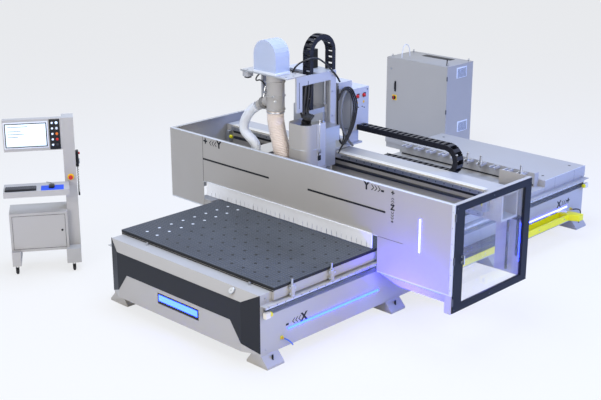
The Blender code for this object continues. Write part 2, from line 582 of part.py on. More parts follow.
# ---------------------------------------------------------------- gantry
def build_panel(gantry):
    """Front plate, open-topped surround, folded rim, lower skirt and the wall by the door."""
    plate_back = PANEL_FRONT + PANEL_SHEET
    outline = [(PANEL_LEFT, PANEL_TOP), (PANEL_RIGHT, PANEL_TOP), (PANEL_RIGHT, POST_BOTTOM),
               (PANEL_RIGHT + POST_WIDTH, POST_BOTTOM), (PANEL_RIGHT + POST_WIDTH, PANEL_RIGHT_BOTTOM),
               (PASS_RIGHT, PANEL_RIGHT_BOTTOM), (PASS_RIGHT, PASS_TOP), (PASS_LEFT, PASS_TOP),
               (PASS_LEFT, PANEL_LEFT_BOTTOM), (PANEL_LEFT, PANEL_LEFT_BOTTOM)]
    plate = prism(outline, "X", PANEL_FRONT, plate_back)
    rim = PANEL_TOP - PANEL_SHEET
    skirt_x = PANEL_FRONT + SKIRT_SETBACK
    skirt_right = PANEL_RIGHT + POST_WIDTH
    skirt_left = PASS_RIGHT - 4 * LAP
    fold = PANEL_RIGHT_BOTTOM + PANEL_SHEET
    skirt = [(skirt_right, SKIRT_BOTTOM), (SKIRT_CORNER[0], SKIRT_BOTTOM), (skirt_left, SKIRT_CORNER[1]),
             (skirt_left, fold), (skirt_right, fold)]
    start = PANEL_FRONT + PANEL_SHEET / 4
    join(plate,
         box((start, PANEL_LEFT - PANEL_SHEET, PANEL_LEFT_BOTTOM),
             (ENCLOSURE_REAR_LEFT, PANEL_LEFT, PANEL_TOP)),
         box((start, PANEL_RIGHT, rim), (PANEL_FRONT + RIM_WIDTH, PANEL_LEFT, PANEL_TOP)),
         box((start, PANEL_LEFT - RIM_WIDTH, rim), (ENCLOSURE_REAR_LEFT, PANEL_LEFT, PANEL_TOP)),
         box((start, PANEL_RIGHT, rim), (ENCLOSURE_REAR_RIGHT, PANEL_RIGHT + RIM_WIDTH, PANEL_TOP)),
         box((ENCLOSURE_REAR_RIGHT - PANEL_SHEET, PANEL_RIGHT + RIM_WIDTH - PANEL_SHEET, REAR_WALL_BOTTOM),
             (ENCLOSURE_REAR_RIGHT, REAR_WALL_REACH, PANEL_TOP)),
         box((start, skirt_right, PANEL_RIGHT_BOTTOM), (skirt_x + SKIRT_SHEET, skirt_left, fold)),
         prism(skirt, "X", skirt_x, skirt_x + SKIRT_SHEET))
    add("gantry_panel", plate, LIGHT, gantry)
    add("curtain", box((PANEL_FRONT - GAP - CURTAIN_THICKNESS, CURTAIN_RIGHT, CURTAIN_BOTTOM),
                       (PANEL_FRONT - GAP, CURTAIN_LEFT, CURTAIN_TOP)), FLAP, gantry)


def gantry_leg(side):
    """Leg plate with its X runners and the arm that carries the front panel."""
    top = BEAM_BOTTOM - GAP
    outline = [(LEG_FRONT, LEG_BOTTOM), (LEG_REAR, LEG_BOTTOM), (LEG_REAR, LEG_HEEL_TOP),
               (BEAM_REAR - LAP, top), (BEAM_FRONT - 4 * LAP, top), (LEG_THROAT, LEG_THROAT_TOP),
               (LEG_FRONT, LEG_TOE_TOP)]
    low, high = sorted((side * LEG_INNER, side * LEG_OUTER))
    leg = prism(outline, "Y", low, high)
    rail_face = BED_HALF_WIDTH + GAP + RAIL_DEPTH + RUNNER_GAP
    for start in RUNNER_STARTS:
        low, high = sorted((side * rail_face, side * (LEG_INNER + LAP)))
        join(leg, box((start, low, RAIL_BOTTOM - LAP), (start + RUNNER_LENGTH, high, RAIL_TOP + LAP)))
    low, high = sorted((side * (LEG_OUTER - 10 * LAP), side * (LEG_OUTER + ARM_REACH)))
    join(leg, box((PANEL_FRONT + PANEL_SHEET + GAP, low, ARM_BOTTOM), (LEG_FRONT + LAP, high, ARM_TOP)))
    if side < 0:
        chain_outer = X_CHAIN_INNER + X_CHAIN_WIDTH
        high_run = x_chain_heights()[1] - X_CHAIN_THICKNESS / 2
        join(leg, box((X_CHAIN_GANTRY_END - X_CHAIN_BRACKET, -chain_outer, high_run),
                      (X_CHAIN_GANTRY_END - GAP, -LEG_INNER - 3 * LAP, LEG_BOTTOM + LAP)))
    return leg


def build_gantry(gantry):
    build_panel(gantry)
    for name, side in (("left", 1), ("right", -1)):
        add("gantry_leg_" + name, gantry_leg(side), LIGHT, gantry)
    beam = box((BEAM_FRONT, BEAM_RIGHT, BEAM_BOTTOM), (BEAM_REAR, BEAM_LEFT, BEAM_TOP))
    cut(beam, box((BEAM_FRONT + BEAM_WALL, BEAM_RIGHT - CUT_REACH, BEAM_BOTTOM + BEAM_WALL),
                  (BEAM_REAR - BEAM_WALL, BEAM_LEFT + CUT_REACH, BEAM_TOP - BEAM_WALL)))
    join(beam, box((BEAM_REAR - LAP, CHAIN_SHELF_RIGHT, CHAIN_SHELF_BOTTOM),
                   (Y_CHAIN_FRONT + Y_CHAIN_WIDTH + LAP, CHAIN_SHELF_LEFT, CHAIN_SHELF_TOP)))
    add("gantry_beam", beam, LIGHT, gantry)
    for name, bottom in Y_RAIL_BOTTOMS.items():
        add("y_rail_" + name, box((BEAM_FRONT - Y_RAIL_DEPTH - GAP, -Y_RAIL_HALF_LENGTH, bottom),
                                  (BEAM_FRONT - GAP, Y_RAIL_HALF_LENGTH, bottom + Y_RAIL_HEIGHT)),
            STEEL, gantry)


def build_door(gantry):
    hinge = empty("door_hinge", (DOOR_FAR + HINGE_OFFSET, PANEL_RIGHT - HINGE_OFFSET, DOOR_BOTTOM), gantry)
    inner = PANEL_RIGHT + DOOR_THICKNESS
    window = ((DOOR_NEAR + DOOR_NEAR_STILE, DOOR_BOTTOM + DOOR_RAIL),
              (DOOR_FAR - DOOR_FAR_STILE, DOOR_TOP - DOOR_RAIL))
    frame = box((DOOR_NEAR, PANEL_RIGHT, DOOR_BOTTOM), (DOOR_FAR, inner, DOOR_TOP))
    cut(frame, box((window[0][0], PANEL_RIGHT - CUT_REACH, window[0][1]),
                   (window[1][0], inner + CUT_REACH, window[1][1])))
    add("door_frame", frame, DARK, hinge)
    glass_y = PANEL_RIGHT + DOOR_THICKNESS * 0.4
    pane = box((window[0][0] + GAP, glass_y, window[0][1] + GAP),
               (window[1][0] - GAP, glass_y + GLASS_THICKNESS, window[1][1] - GAP))
    add("door_glass", pane, CLEAR, hinge)
    near, far = PANEL_RIGHT - GAP, PANEL_RIGHT - GAP - HANDLE_REACH
    grip = [(near, HANDLE_BOTTOM), (near, HANDLE_BOTTOM + HANDLE_BAR),
            (far + HANDLE_BAR, HANDLE_BOTTOM + HANDLE_BAR), (far + HANDLE_BAR, HANDLE_TOP - HANDLE_BAR),
            (near, HANDLE_TOP - HANDLE_BAR), (near, HANDLE_TOP), (far, HANDLE_TOP), (far, HANDLE_BOTTOM)]
    add("door_handle", prism(grip, "X", HANDLE_X, HANDLE_X + HANDLE_WIDTH), STEEL, hinge)


# ---------------------------------------------------------------- cable chains
def x_chain_heights():
    """Middle heights of the lower and the upper run."""
    low = TRAY_BOTTOM + TRAY_SHEET + X_CHAIN_THICKNESS / 2 + 0.0005
    return low, low + 2 * X_CHAIN_RADIUS


def build_x_chain(gantry):
    half = X_CHAIN_THICKNESS / 2
    low, high = x_chain_heights()
    right, left = -X_CHAIN_INNER - X_CHAIN_WIDTH, -X_CHAIN_INNER
    for name, end, level, holder in (("fixed", X_CHAIN_FIXED_END, low, ROOT),
                                     ("lead", X_CHAIN_GANTRY_END, high, gantry)):
        run = box((end, right, level - half), (X_CHAIN_BEND - GAP, left, level + half))
        add("x_chain_" + name, run, BLACK, holder)
    middle = (low + high) / 2
    bend = empty("x_chain_bend_centre", (X_CHAIN_BEND, (right + left) / 2, middle), ROOT)
    ring = half_ring((X_CHAIN_BEND, middle), X_CHAIN_RADIUS, X_CHAIN_THICKNESS, -90)
    add("x_chain_bend", prism(ring, "Y", right, left), BLACK, bend)
    outer, inner = right - TRAY_CLEARANCE, left + TRAY_CLEARANCE
    top = TRAY_BOTTOM + TRAY_HEIGHT
    channel = [(outer, top), (outer, TRAY_BOTTOM), (inner, TRAY_BOTTOM), (inner, top),
               (inner - TRAY_SHEET, top), (inner - TRAY_SHEET, TRAY_BOTTOM + TRAY_SHEET),
               (outer + TRAY_SHEET, TRAY_BOTTOM + TRAY_SHEET), (outer + TRAY_SHEET, top)]
    tray = prism(channel, "X", TRAY_START, TRAY_END)
    for share in (0.07, 0.50, 0.91):
        x = TRAY_START + (TRAY_END - TRAY_START) * share
        join(tray, box((x, inner - TRAY_SHEET / 2, TRAY_BOTTOM + 2 * LAP),
                       (x + TRAY_BRACKET, -BED_HALF_WIDTH - GAP, top - 2 * LAP)))
    add("x_chain_tray", tray, YELLOW, ROOT)


def build_y_chain(gantry, carriage):
    half = Y_CHAIN_THICKNESS / 2
    front, rear = Y_CHAIN_FRONT, Y_CHAIN_FRONT + Y_CHAIN_WIDTH
    low = Y_CHAIN_LOW_CENTRE
    high = low + 2 * Y_CHAIN_RADIUS
    for name, end, level, holder in (("fixed", Y_CHAIN_FIXED_END, low, gantry),
                                     ("lead", BOX_RIGHT - GAP, high, carriage)):
        run = box((front, Y_CHAIN_BEND + GAP, level - half), (rear, end, level + half))
        add("y_chain_" + name, run, BLACK, holder)
    bend = empty("y_chain_bend_centre", ((front + rear) / 2, Y_CHAIN_BEND, (low + high) / 2), gantry)
    ring = half_ring((Y_CHAIN_BEND, (low + high) / 2), Y_CHAIN_RADIUS, Y_CHAIN_THICKNESS, 90)
    add("y_chain_bend", prism(ring, "X", front, rear), BLACK, bend)


def build_z_chain(carriage, slide):
    half = Z_CHAIN_THICKNESS / 2
    x, z = Z_CHAIN_BEND
    right, left = Z_CHAIN_RIGHT, Z_CHAIN_RIGHT + Z_CHAIN_WIDTH
    front, rear = x - Z_CHAIN_RADIUS, x + Z_CHAIN_RADIUS
    add("z_chain_fixed", box((rear - half, right, FRAME_TOP + GAP), (rear + half, left, z - GAP)),
        BLACK, carriage)
    add("z_chain_lead", box((front - half, right, Z_CHAIN_ARM_TOP), (front + half, left, z - GAP)),
        BLACK, slide)
    bend = empty("z_chain_bend_centre", (x, (right + left) / 2, z), carriage)
    ring = half_ring((x, z), Z_CHAIN_RADIUS, Z_CHAIN_THICKNESS, 0)
    add("z_chain_bend", prism(ring, "Y", right, left), BLACK, bend)


# ---------------------------------------------------------------- carriage and head
def frame_side(right):
    outline = [(FRAME_FRONT, FRAME_FRONT_POST_BOTTOM), (FRAME_FRONT, FRAME_TOP), (FRAME_REAR, FRAME_TOP),
               (FRAME_REAR, FRAME_BOTTOM), (FRAME_REAR - FRAME_POST, FRAME_BOTTOM),
               (FRAME_REAR - FRAME_POST, FRAME_TOP - FRAME_BAR),
               (FRAME_FRONT + FRAME_POST, FRAME_TOP - FRAME_BAR),
               (FRAME_FRONT + FRAME_POST, FRAME_FRONT_POST_BOTTOM)]
    return prism(outline, "Y", right, right + HEAD_PLATE)


def build_carriage(carriage):
    right, left = HEAD_RIGHT + HEAD_PLATE + GAP, HEAD_LEFT - HEAD_PLATE - GAP
    back = BACK_PLATE_FRONT + BACK_PLATE_THICKNESS
    plate = box((BACK_PLATE_FRONT, right, BEAM_BOTTOM + LAP), (back, left, FRAME_TOP - 6 * LAP))
    block_rear = BEAM_FRONT - Y_RAIL_DEPTH - GAP - RUNNER_GAP
    blocks = [box((back - LAP, y, bottom - 2 * LAP),
                  (block_rear, y + Y_RUNNER_LENGTH, bottom + Y_RAIL_HEIGHT + 2 * LAP))
              for bottom in Y_RAIL_BOTTOMS.values() for y in Y_RUNNER_STARTS]
    ribs = [box((BACK_PLATE_FRONT - Z_RIB_DEPTH, y - Z_RIB_WIDTH / 2, FRAME_BOTTOM + 2 * LAP),
                (BACK_PLATE_FRONT + LAP, y + Z_RIB_WIDTH / 2, Z_RIB_TOP)) for y in Z_RIB_CENTRES]
    saddle = box((back - 4 * LAP, right + 3 * LAP, SADDLE_BOTTOM), (SADDLE_REAR, left - 4 * LAP, SADDLE_TOP))
    add("y_carriage", join(plate, saddle, *blocks, *ribs), LIGHT, carriage)

    frame = frame_side(HEAD_RIGHT)
    join(frame, frame_side(HEAD_LEFT - HEAD_PLATE),
         box((FRAME_CAP_START, HEAD_RIGHT, FRAME_TOP - 0.02), (FRAME_REAR, HEAD_LEFT, FRAME_TOP)))
    add("z_frame", frame, LIGHT, carriage)
    half = MOTOR_HALF_WIDTH
    add("z_motor", box((SCREW_X - half, SCREW_Y - half, FRAME_TOP + GAP),
                       (SCREW_X + half, SCREW_Y + half, FRAME_TOP + MOTOR_HEIGHT)), DARK, carriage)

    housing = box((BOX_FRONT, BOX_RIGHT, BOX_BOTTOM), (BOX_REAR, BOX_LEFT, BOX_TOP))
    join(housing, box((BOX_FRONT - SMALL_BOX_REACH, BOX_RIGHT + SMALL_BOX_LAP, BOX_TOP - 3 * LAP),
                      (BOX_FRONT + SMALL_BOX_LAP, BOX_LEFT - 2 * LAP, BOX_TOP + SMALL_BOX_RISE)),
         box((BOX_FRONT + STAND_WIDTH, BOX_RIGHT + STAND_OFFSET, SADDLE_TOP + GAP),
             (BOX_REAR - STAND_WIDTH, BOX_RIGHT + STAND_OFFSET + STAND_WIDTH, BOX_BOTTOM + 2 * LAP)))
    add("junction_box", housing, LIGHT, carriage)


def hood_outline(inset):
    """Arched outline across Y and Z, open side down."""
    bottom = FRAME_TOP + GAP + DUCT_PLATE_THICKNESS + GAP
    right, left = HOOD_RIGHT + inset, HOOD_LEFT - inset
    radius = (left - right) / 2
    middle, rise = (right + left) / 2, HOOD_TOP - inset - radius
    start = bottom if inset == 0 else bottom - CUT_REACH
    return [(left, start), *arc((middle, rise), radius, 0, 180, 12), (right, start)]


def build_extraction(carriage, slide):
    low, high = (DUCT_X, DUCT_Y, DUCT_BOTTOM), (DUCT_X, DUCT_Y, DUCT_TOP)
    duct = rod(low, high, DUCT_RADIUS, 32)
    plate_bottom = FRAME_TOP + GAP
    front, rear, right, left = DUCT_PLATE
    join(duct, box((front, right, plate_bottom), (rear, left, plate_bottom + DUCT_PLATE_THICKNESS)),
         rod(BRANCH_NECK[0], BRANCH_NECK[1], BRANCH_RADIUS, 20))
    cut(duct, rod((DUCT_X, DUCT_Y, DUCT_BOTTOM - CUT_REACH), (DUCT_X, DUCT_Y, DUCT_TOP + CUT_REACH),
                  DUCT_RADIUS - DUCT_SHEET, 32))
    add("extraction_duct", duct, LIGHT, carriage)
    hood_front = DUCT_X - HOOD_DEPTH / 2
    hood = prism(hood_outline(0), "X", hood_front, hood_front + HOOD_DEPTH)
    cut(hood, prism(hood_outline(HOOD_SHEET), "X", hood_front + HOOD_SHEET,
                    hood_front + HOOD_DEPTH - HOOD_SHEET))
    cut(hood, rod((DUCT_X, DUCT_Y, DUCT_BOTTOM), (DUCT_X, DUCT_Y, DUCT_TOP + GAP), DUCT_RADIUS + 0.002, 32))
    add("duct_hood", hood, CLEAR, carriage)

    x, y = HOSE_PORT
    route = [(DUCT_X, DUCT_Y, DUCT_BOTTOM - GAP), (DUCT_X, DUCT_Y, DUCT_BOTTOM - 0.09),
             (DUCT_X + 0.004, DUCT_Y - 0.018, 1.56), ((DUCT_X + x) / 2, (DUCT_Y + y) / 2, 1.47),
             (x - 0.004, y + 0.018, 1.38), (x, y, HOSE_BOTTOM + 0.09), (x, y, HOSE_BOTTOM)]
    add("extraction_hose", tube(route, HOSE_RADIUS, "extraction_hose", 3), HOSE, slide)
    add("branch_hose", tube(BRANCH_ROUTE, BRANCH_RADIUS, "branch_hose", 3), FLAP, slide)


def shroud_outline(inset, back):
    right, left, front = SHROUD_RIGHT + inset, SHROUD_LEFT - inset, SHROUD_FRONT + inset
    corner = SHROUD_CORNER - inset
    return [(back, right), *arc((front + corner, right + corner), corner, 270, 180, 6),
            *arc((front + corner, left - corner), corner, 180, 90, 6), (back, left)]


def build_slide(slide):
    right, left = SLIDE_RIGHT, SLIDE_LEFT
    back = SLIDE_FRONT + SLIDE_THICKNESS
    rib_face = BACK_PLATE_FRONT - Z_RIB_DEPTH - GAP
    plate = box((SLIDE_FRONT, right, SLIDE_BOTTOM), (back, left, SLIDE_TOP))
    pads = [box((back - LAP, y - Z_RIB_WIDTH, SLIDE_BOTTOM + PAD_SETBACK),
                (rib_face, y + Z_RIB_WIDTH, SLIDE_TOP - 2 * PAD_SETBACK)) for y in Z_RIB_CENTRES]
    reach = SLIDE_FRONT + LAP
    bracket = box((SPINDLE_X + SPINDLE_RADIUS + GAP, SHROUD_RIGHT + SHROUD_SHEET + GAP, BRACKET_BOTTOM),
                  (reach, SHROUD_LEFT - SHROUD_SHEET - GAP, BRACKET_TOP))
    chain_x = Z_CHAIN_BEND[0] - Z_CHAIN_RADIUS - Z_CHAIN_THICKNESS / 2
    arm = box((chain_x - 2 * LAP, Z_CHAIN_RIGHT + GAP, SHROUD_TOP + 6 * LAP),
              (reach, Z_CHAIN_RIGHT + Z_CHAIN_WIDTH, Z_CHAIN_ARM_TOP - GAP))
    port_x, port_y, port_top = BRANCH_ROUTE[-1]
    shelf = box((port_x - BRANCH_RADIUS - 2 * LAP, left - SHELF_LAP, BRANCH_PORT_BOTTOM),
                (reach, port_y + BRANCH_RADIUS + 2 * LAP, port_top - GAP))
    nut = box((SLIDE_FRONT + SLIDE_THICKNESS - LAP, SCREW_Y - NUT_HALF_WIDTH, NUT_BOTTOM),
              (SCREW_X + NUT_REACH, SCREW_Y + NUT_HALF_WIDTH, NUT_TOP))
    join(plate, *pads, bracket, arm, shelf, nut)
    cut(plate, rod((SCREW_X, SCREW_Y, NUT_BOTTOM - LAP), (SCREW_X, SCREW_Y, NUT_TOP + LAP),
                   SCREW_RADIUS + NUT_CLEARANCE, 12))
    add("z_slide", plate, STEEL, slide)

    nose_top = SPINDLE_BOTTOM + SPINDLE_NOSE_LENGTH
    motor = rod((SPINDLE_X, SPINDLE_Y, nose_top), (SPINDLE_X, SPINDLE_Y, SPINDLE_TOP), SPINDLE_RADIUS, 24)
    join(motor, rod((SPINDLE_X, SPINDLE_Y, SPINDLE_BOTTOM), (SPINDLE_X, SPINDLE_Y, nose_top + 2 * LAP),
                    SPINDLE_NOSE_RADIUS, 24))
    add("spindle_motor", motor, STEEL, slide)

    shell = shroud_outline(0, SHROUD_BACK) + shroud_outline(SHROUD_SHEET, SHROUD_BACK)[::-1]
    shroud = prism(shell, "Z", SHROUD_BOTTOM, SHROUD_TOP)
    x, y = HOSE_PORT
    port_top = HOSE_BOTTOM - GAP
    join(shroud, rod((x, y, PORT_BOTTOM), (x, y, port_top), HOSE_RADIUS, 24),
         box((SHROUD_FRONT + SHROUD_CORNER + LAP, SHROUD_LEFT - SHROUD_SHEET / 2, PORT_BOTTOM + 4 * LAP),
             (SHROUD_FRONT + SHROUD_CORNER + PORT_TAB, y, port_top - LAP / 2)))
    add("dust_shroud", shroud, LIGHT, slide)

    chuck_axis = empty("tool_axis", (SPINDLE_X, SPINDLE_Y, SPINDLE_BOTTOM), slide)
    tool_top = TOOL_TIP + TOOL_LENGTH
    chuck = rod((SPINDLE_X, SPINDLE_Y, tool_top), (SPINDLE_X, SPINDLE_Y, SPINDLE_BOTTOM - GAP), CHUCK_RADIUS)
    join(chuck, rod((SPINDLE_X, SPINDLE_Y, TOOL_TIP), (SPINDLE_X, SPINDLE_Y, tool_top + LAP), TOOL_RADIUS, 12))
    add("tool_chuck", chuck, STEEL, chuck_axis)

    middle = Vector(((BORE_FRONT + BORE_REAR) / 2, (BORE_RIGHT + BORE_LEFT) / 2, BRACKET_BOTTOM))
    bore_axis = empty("bore_axis", middle, slide)
    unit = box((BORE_FRONT, BORE_RIGHT, BORE_BOTTOM), (BORE_REAR, BORE_LEFT, BRACKET_BOTTOM - GAP))
    for x in (middle.x - BORE_PITCH, middle.x + BORE_PITCH):
        for y in (middle.y - BORE_PITCH, middle.y, middle.y + BORE_PITCH):
            join(unit, rod((x, y, BORE_TIP), (x, y, BORE_BOTTOM + 2 * LAP), BORE_BIT_RADIUS, 8))
    add("bore_unit", unit, LIGHT, bore_axis)


# ---------------------------------------------------------------- control desk
def caster_fork(x, y, top):
    """Plate and two cheeks around a wheel that trails behind the swivel."""
    inner = WHEEL_HALF_WIDTH + WHEEL_CLEARANCE
    outer = inner + FORK_CHEEK
    low, under = WHEEL_RADIUS - 2 * LAP, FORK_TOP - FORK_PLATE
    outline = [(x - outer, low), (x - inner, low), (x - inner, under), (x + inner, under), (x + inner, low),
               (x + outer, low), (x + outer, top), (x - outer, top)]
    return prism(outline, "Y", y - FORK_OVERHANG, y + CASTER_TRAIL + FORK_OVERHANG)


def build_desk():
    foot_bottom = FORK_TOP + GAP
    body = box((DESK_LEFT, DESK_BASE_FRONT, DESK_BASE_BOTTOM),
               (DESK_BASE_RIGHT, DESK_BASE_BACK, DESK_BASE_TOP))
    cut(body, box((DESK_LEFT + DESK_SHEET, DESK_BASE_FRONT + DESK_SHEET, DESK_BASE_BOTTOM - CUT_REACH),
                  (DESK_BASE_RIGHT - DESK_SHEET, DESK_BASE_BACK - DESK_SHEET, DESK_BASE_TOP - DESK_SHEET)))
    foot_top = DESK_BASE_BOTTOM + 4 * LAP
    edge = DESK_SHEET / 2
    join(body,
         box((DESK_LEFT + edge, DESK_FOOT_FRONT, foot_bottom),
             (DESK_LEFT + DESK_FOOT_WIDTH, DESK_FOOT_BACK, foot_top)),
         box((DESK_BASE_RIGHT - 6 * LAP, DESK_FOOT_FRONT, foot_bottom),
             (DESK_RIGHT - edge, DESK_FOOT_BACK, foot_top)),
         box((DESK_BASE_RIGHT - edge, DESK_COLUMN_FRONT, DESK_BASE_BOTTOM - 6 * LAP),
             (DESK_RIGHT, DESK_COLUMN_BACK, DESK_TOP)),
         *[caster_fork(x, CASTER_REAR_Y - CASTER_TRAIL, foot_bottom + LAP) for x in (-CASTER_X, CASTER_X)])
    cut(body, rod((E_STOP_X, DESK_COLUMN_FRONT - CUT_REACH, E_STOP_Z),
                  (E_STOP_X, DESK_COLUMN_FRONT + 6 * LAP, E_STOP_Z), E_STOP_STEM + E_STOP_CLEARANCE, 16))
    cut(body, box((DESK_BASE_RIGHT + DESK_SHEET, DESK_COLUMN_FRONT + DESK_SHEET, foot_bottom - CUT_REACH),
                  (DESK_RIGHT - 2 * DESK_SHEET, DESK_COLUMN_BACK - DESK_SHEET, DESK_TOP - DESK_SHEET)))
    add_to_desk("console_body", body, LIGHT, ROOT)

    side = DESK_BASE_RIGHT - edge - GAP
    add_to_desk("monitor_housing", box((DESK_LEFT, DESK_COLUMN_FRONT, MONITOR_BOTTOM),
                                       (side, MONITOR_BACK, DESK_TOP)), LIGHT, ROOT)
    add_to_desk("keyboard_tray", box((DESK_TRAY_LEFT, DESK_TRAY_FRONT, DESK_TRAY_BOTTOM),
                                     (DESK_TRAY_RIGHT, DESK_COLUMN_FRONT - GAP, DESK_TRAY_TOP)), LIGHT, ROOT)

    face = DESK_COLUMN_FRONT
    under = face - 2 * E_STOP_STROKE
    button = rod((E_STOP_X, under - E_STOP_HEIGHT, E_STOP_Z), (E_STOP_X, under, E_STOP_Z), E_STOP_HEAD, 20)
    join(button, rod((E_STOP_X, under - LAP, E_STOP_Z), (E_STOP_X, face + 3 * LAP, E_STOP_Z), E_STOP_STEM, 16))
    pivot = empty("e_stop_axis", DESK @ Vector((E_STOP_X, face, E_STOP_Z)), ROOT, DESK_TURN)
    add_to_desk("e_stop", button, RED, pivot)

    half = Vector((WHEEL_HALF_WIDTH, 0, 0))
    for name, x in (("left", -CASTER_X), ("right", CASTER_X)):
        swivel = empty("swivel_" + name, DESK @ Vector((x, 0, FORK_TOP)), ROOT, DESK_TURN)
        add_to_desk("caster_fork_" + name, caster_fork(x, 0, FORK_TOP), BLACK, swivel)
        for place, y, holder in (("front", CASTER_TRAIL, swivel), ("rear", CASTER_REAR_Y, ROOT)):
            centre = Vector((x, y, WHEEL_RADIUS))
            axle = empty(f"axle_{place}_{name}", DESK @ centre, holder, DESK_TURN)
            add_to_desk(f"caster_wheel_{place}_{name}", rod(centre - half, centre + half, WHEEL_RADIUS, 24),
                        BLACK, axle)


# ---------------------------------------------------------------- electrical cabinet
def build_cabinet():
    rear, left = CABINET_FRONT + CABINET_DEPTH, CABINET_RIGHT + CABINET_WIDTH
    wall = CABINET_SHEET
    shell = box((CABINET_FRONT, CABINET_RIGHT, 0), (rear, left, CABINET_HEIGHT))
    cut(shell, box((CABINET_FRONT - CUT_REACH, CABINET_RIGHT + wall, CABINET_PLINTH + wall),
                   (rear - wall, left - wall, CABINET_HEIGHT - wall)))
    add("cabinet_body", shell, LIGHT, ROOT)
    door_back = CABINET_FRONT - GAP
    door_front = door_back - CABINET_DOOR_THICKNESS
    corner = (door_front - HINGE_OFFSET, CABINET_RIGHT - HINGE_OFFSET, CABINET_PLINTH)
    hinge = empty("cabinet_hinge", corner, ROOT)
    door = box((door_front, CABINET_RIGHT, CABINET_PLINTH), (door_back, left, CABINET_HEIGHT))
    cut(door, box((door_front + wall, CABINET_RIGHT + 2 * wall, CABINET_PLINTH + 2 * wall),
                  (door_back + CUT_REACH, left - 2 * wall, CABINET_HEIGHT - 2 * wall)))
    add("cabinet_door", door, LIGHT, hinge)
    knob = rod((door_front - GAP - SWITCH_LENGTH, SWITCH_Y, SWITCH_Z), (door_front - GAP, SWITCH_Y, SWITCH_Z),
               SWITCH_RADIUS, 20)
    axis = empty("switch_axis", (door_front, SWITCH_Y, SWITCH_Z), hinge)
    add("main_switch", knob, BLACK, axis)


def origin_to_footprint():
    """Move the machine so that the middle of its footprint, on the floor, is the origin."""
    bpy.context.view_layer.update()
    graph = bpy.context.evaluated_depsgraph_get()
    corners = []
    for piece in PARTS.objects:
        if piece.type == "EMPTY":
            continue
        solid = piece.evaluated_get(graph)
        mesh = solid.to_mesh()
        corners += [solid.matrix_world @ vertex.co for vertex in mesh.vertices]
        solid.to_mesh_clear()
    low = [min(corner[axis] for corner in corners) for axis in range(3)]
    high = [max(corner[axis] for corner in corners) for axis in range(3)]
    ROOT.location = (-(low[0] + high[0]) / 2, -(low[1] + high[1]) / 2, -low[2])
    bpy.context.view_layer.update()


def main():
    build_bed()
    build_front()
    build_rear()
    gantry = empty("gantry_axis", (BEAM_FRONT, 0, BEAM_BOTTOM), ROOT)
    build_gantry(gantry)
    build_door(gantry)
    carriage = empty("carriage_axis", (BEAM_FRONT, HEAD_RIGHT, BEAM_TOP), gantry)
    slide = empty("slide_axis", (SCREW_X, SCREW_Y, SCREW_BOTTOM), carriage)
    build_x_chain(gantry)
    build_y_chain(gantry, carriage)
    build_z_chain(carriage, slide)
    build_carriage(carriage)
    build_extraction(carriage, slide)
    build_slide(slide)
    screw_axis = empty("screw_axis", (SCREW_X, SCREW_Y, SCREW_BOTTOM), carriage)
    screw = rod((SCREW_X, SCREW_Y, SCREW_BOTTOM), (SCREW_X, SCREW_Y, SCREW_TOP), SCREW_RADIUS, 12)
    add("z_ball_screw", screw, STEEL, screw_axis)
    build_desk()
    build_cabinet()
    origin_to_footprint()


main()
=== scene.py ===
"""Looks of a gantry CNC router with its control desk and electrical cabinet.

Places are in the machine's own axes: X runs along the bed from the operator's end, Y to the left and
Z up.  at() turns them into the frame's axes.
"""
import math
import random

import bpy
from mathutils import Matrix, Vector


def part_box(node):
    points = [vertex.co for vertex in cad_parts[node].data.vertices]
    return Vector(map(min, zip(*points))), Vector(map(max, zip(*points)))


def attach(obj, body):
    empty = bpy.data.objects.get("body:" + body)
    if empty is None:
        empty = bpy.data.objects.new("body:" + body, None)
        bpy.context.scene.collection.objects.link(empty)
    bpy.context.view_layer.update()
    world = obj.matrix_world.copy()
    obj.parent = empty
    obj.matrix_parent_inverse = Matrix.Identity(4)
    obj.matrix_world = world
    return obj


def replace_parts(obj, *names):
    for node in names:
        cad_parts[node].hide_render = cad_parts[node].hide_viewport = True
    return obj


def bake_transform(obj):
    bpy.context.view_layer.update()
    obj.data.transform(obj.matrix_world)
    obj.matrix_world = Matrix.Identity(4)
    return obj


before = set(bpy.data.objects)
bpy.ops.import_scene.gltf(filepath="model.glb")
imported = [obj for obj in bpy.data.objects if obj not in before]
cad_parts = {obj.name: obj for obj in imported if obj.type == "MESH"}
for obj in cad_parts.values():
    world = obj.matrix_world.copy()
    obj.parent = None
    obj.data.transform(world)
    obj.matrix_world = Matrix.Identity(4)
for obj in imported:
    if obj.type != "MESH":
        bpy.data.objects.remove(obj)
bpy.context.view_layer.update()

BOARD_LOW, BOARD_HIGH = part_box("matrix_board")
ORIGIN = Vector((BOARD_LOW.x, (BOARD_LOW.y + BOARD_HIGH.y) / 2, 0))
FRONT, SIDE, TOP = Vector((-1, 0, 0)), Vector((0, -1, 0)), Vector((0, 0, 1))


def at(x, y, z):
    """A place in the machine's axes as a place in the frame."""
    return ORIGIN + Vector((x, y, z))


def node_box(name):
    """A CAD node's lowest and highest corner in the machine's axes."""
    low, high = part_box(name)
    return low - ORIGIN, high - ORIGIN


# ---------------------------------------------------------------- camera
CAMERA_PLACE = (-6.2993, -7.4848, 4.4720)
CAMERA_YAW, CAMERA_PITCH = 0.7710, 0.3193
CAMERA_LENS = 68.77

bpy.ops.object.camera_add(location=at(*CAMERA_PLACE),
                          rotation=(math.pi / 2 - CAMERA_PITCH, 0, CAMERA_YAW - math.pi / 2))
camera = bpy.context.object
camera.data.lens = CAMERA_LENS
camera.data.clip_end = 60
bpy.context.scene.camera = camera
bpy.context.scene.view_settings.view_transform = "Standard"


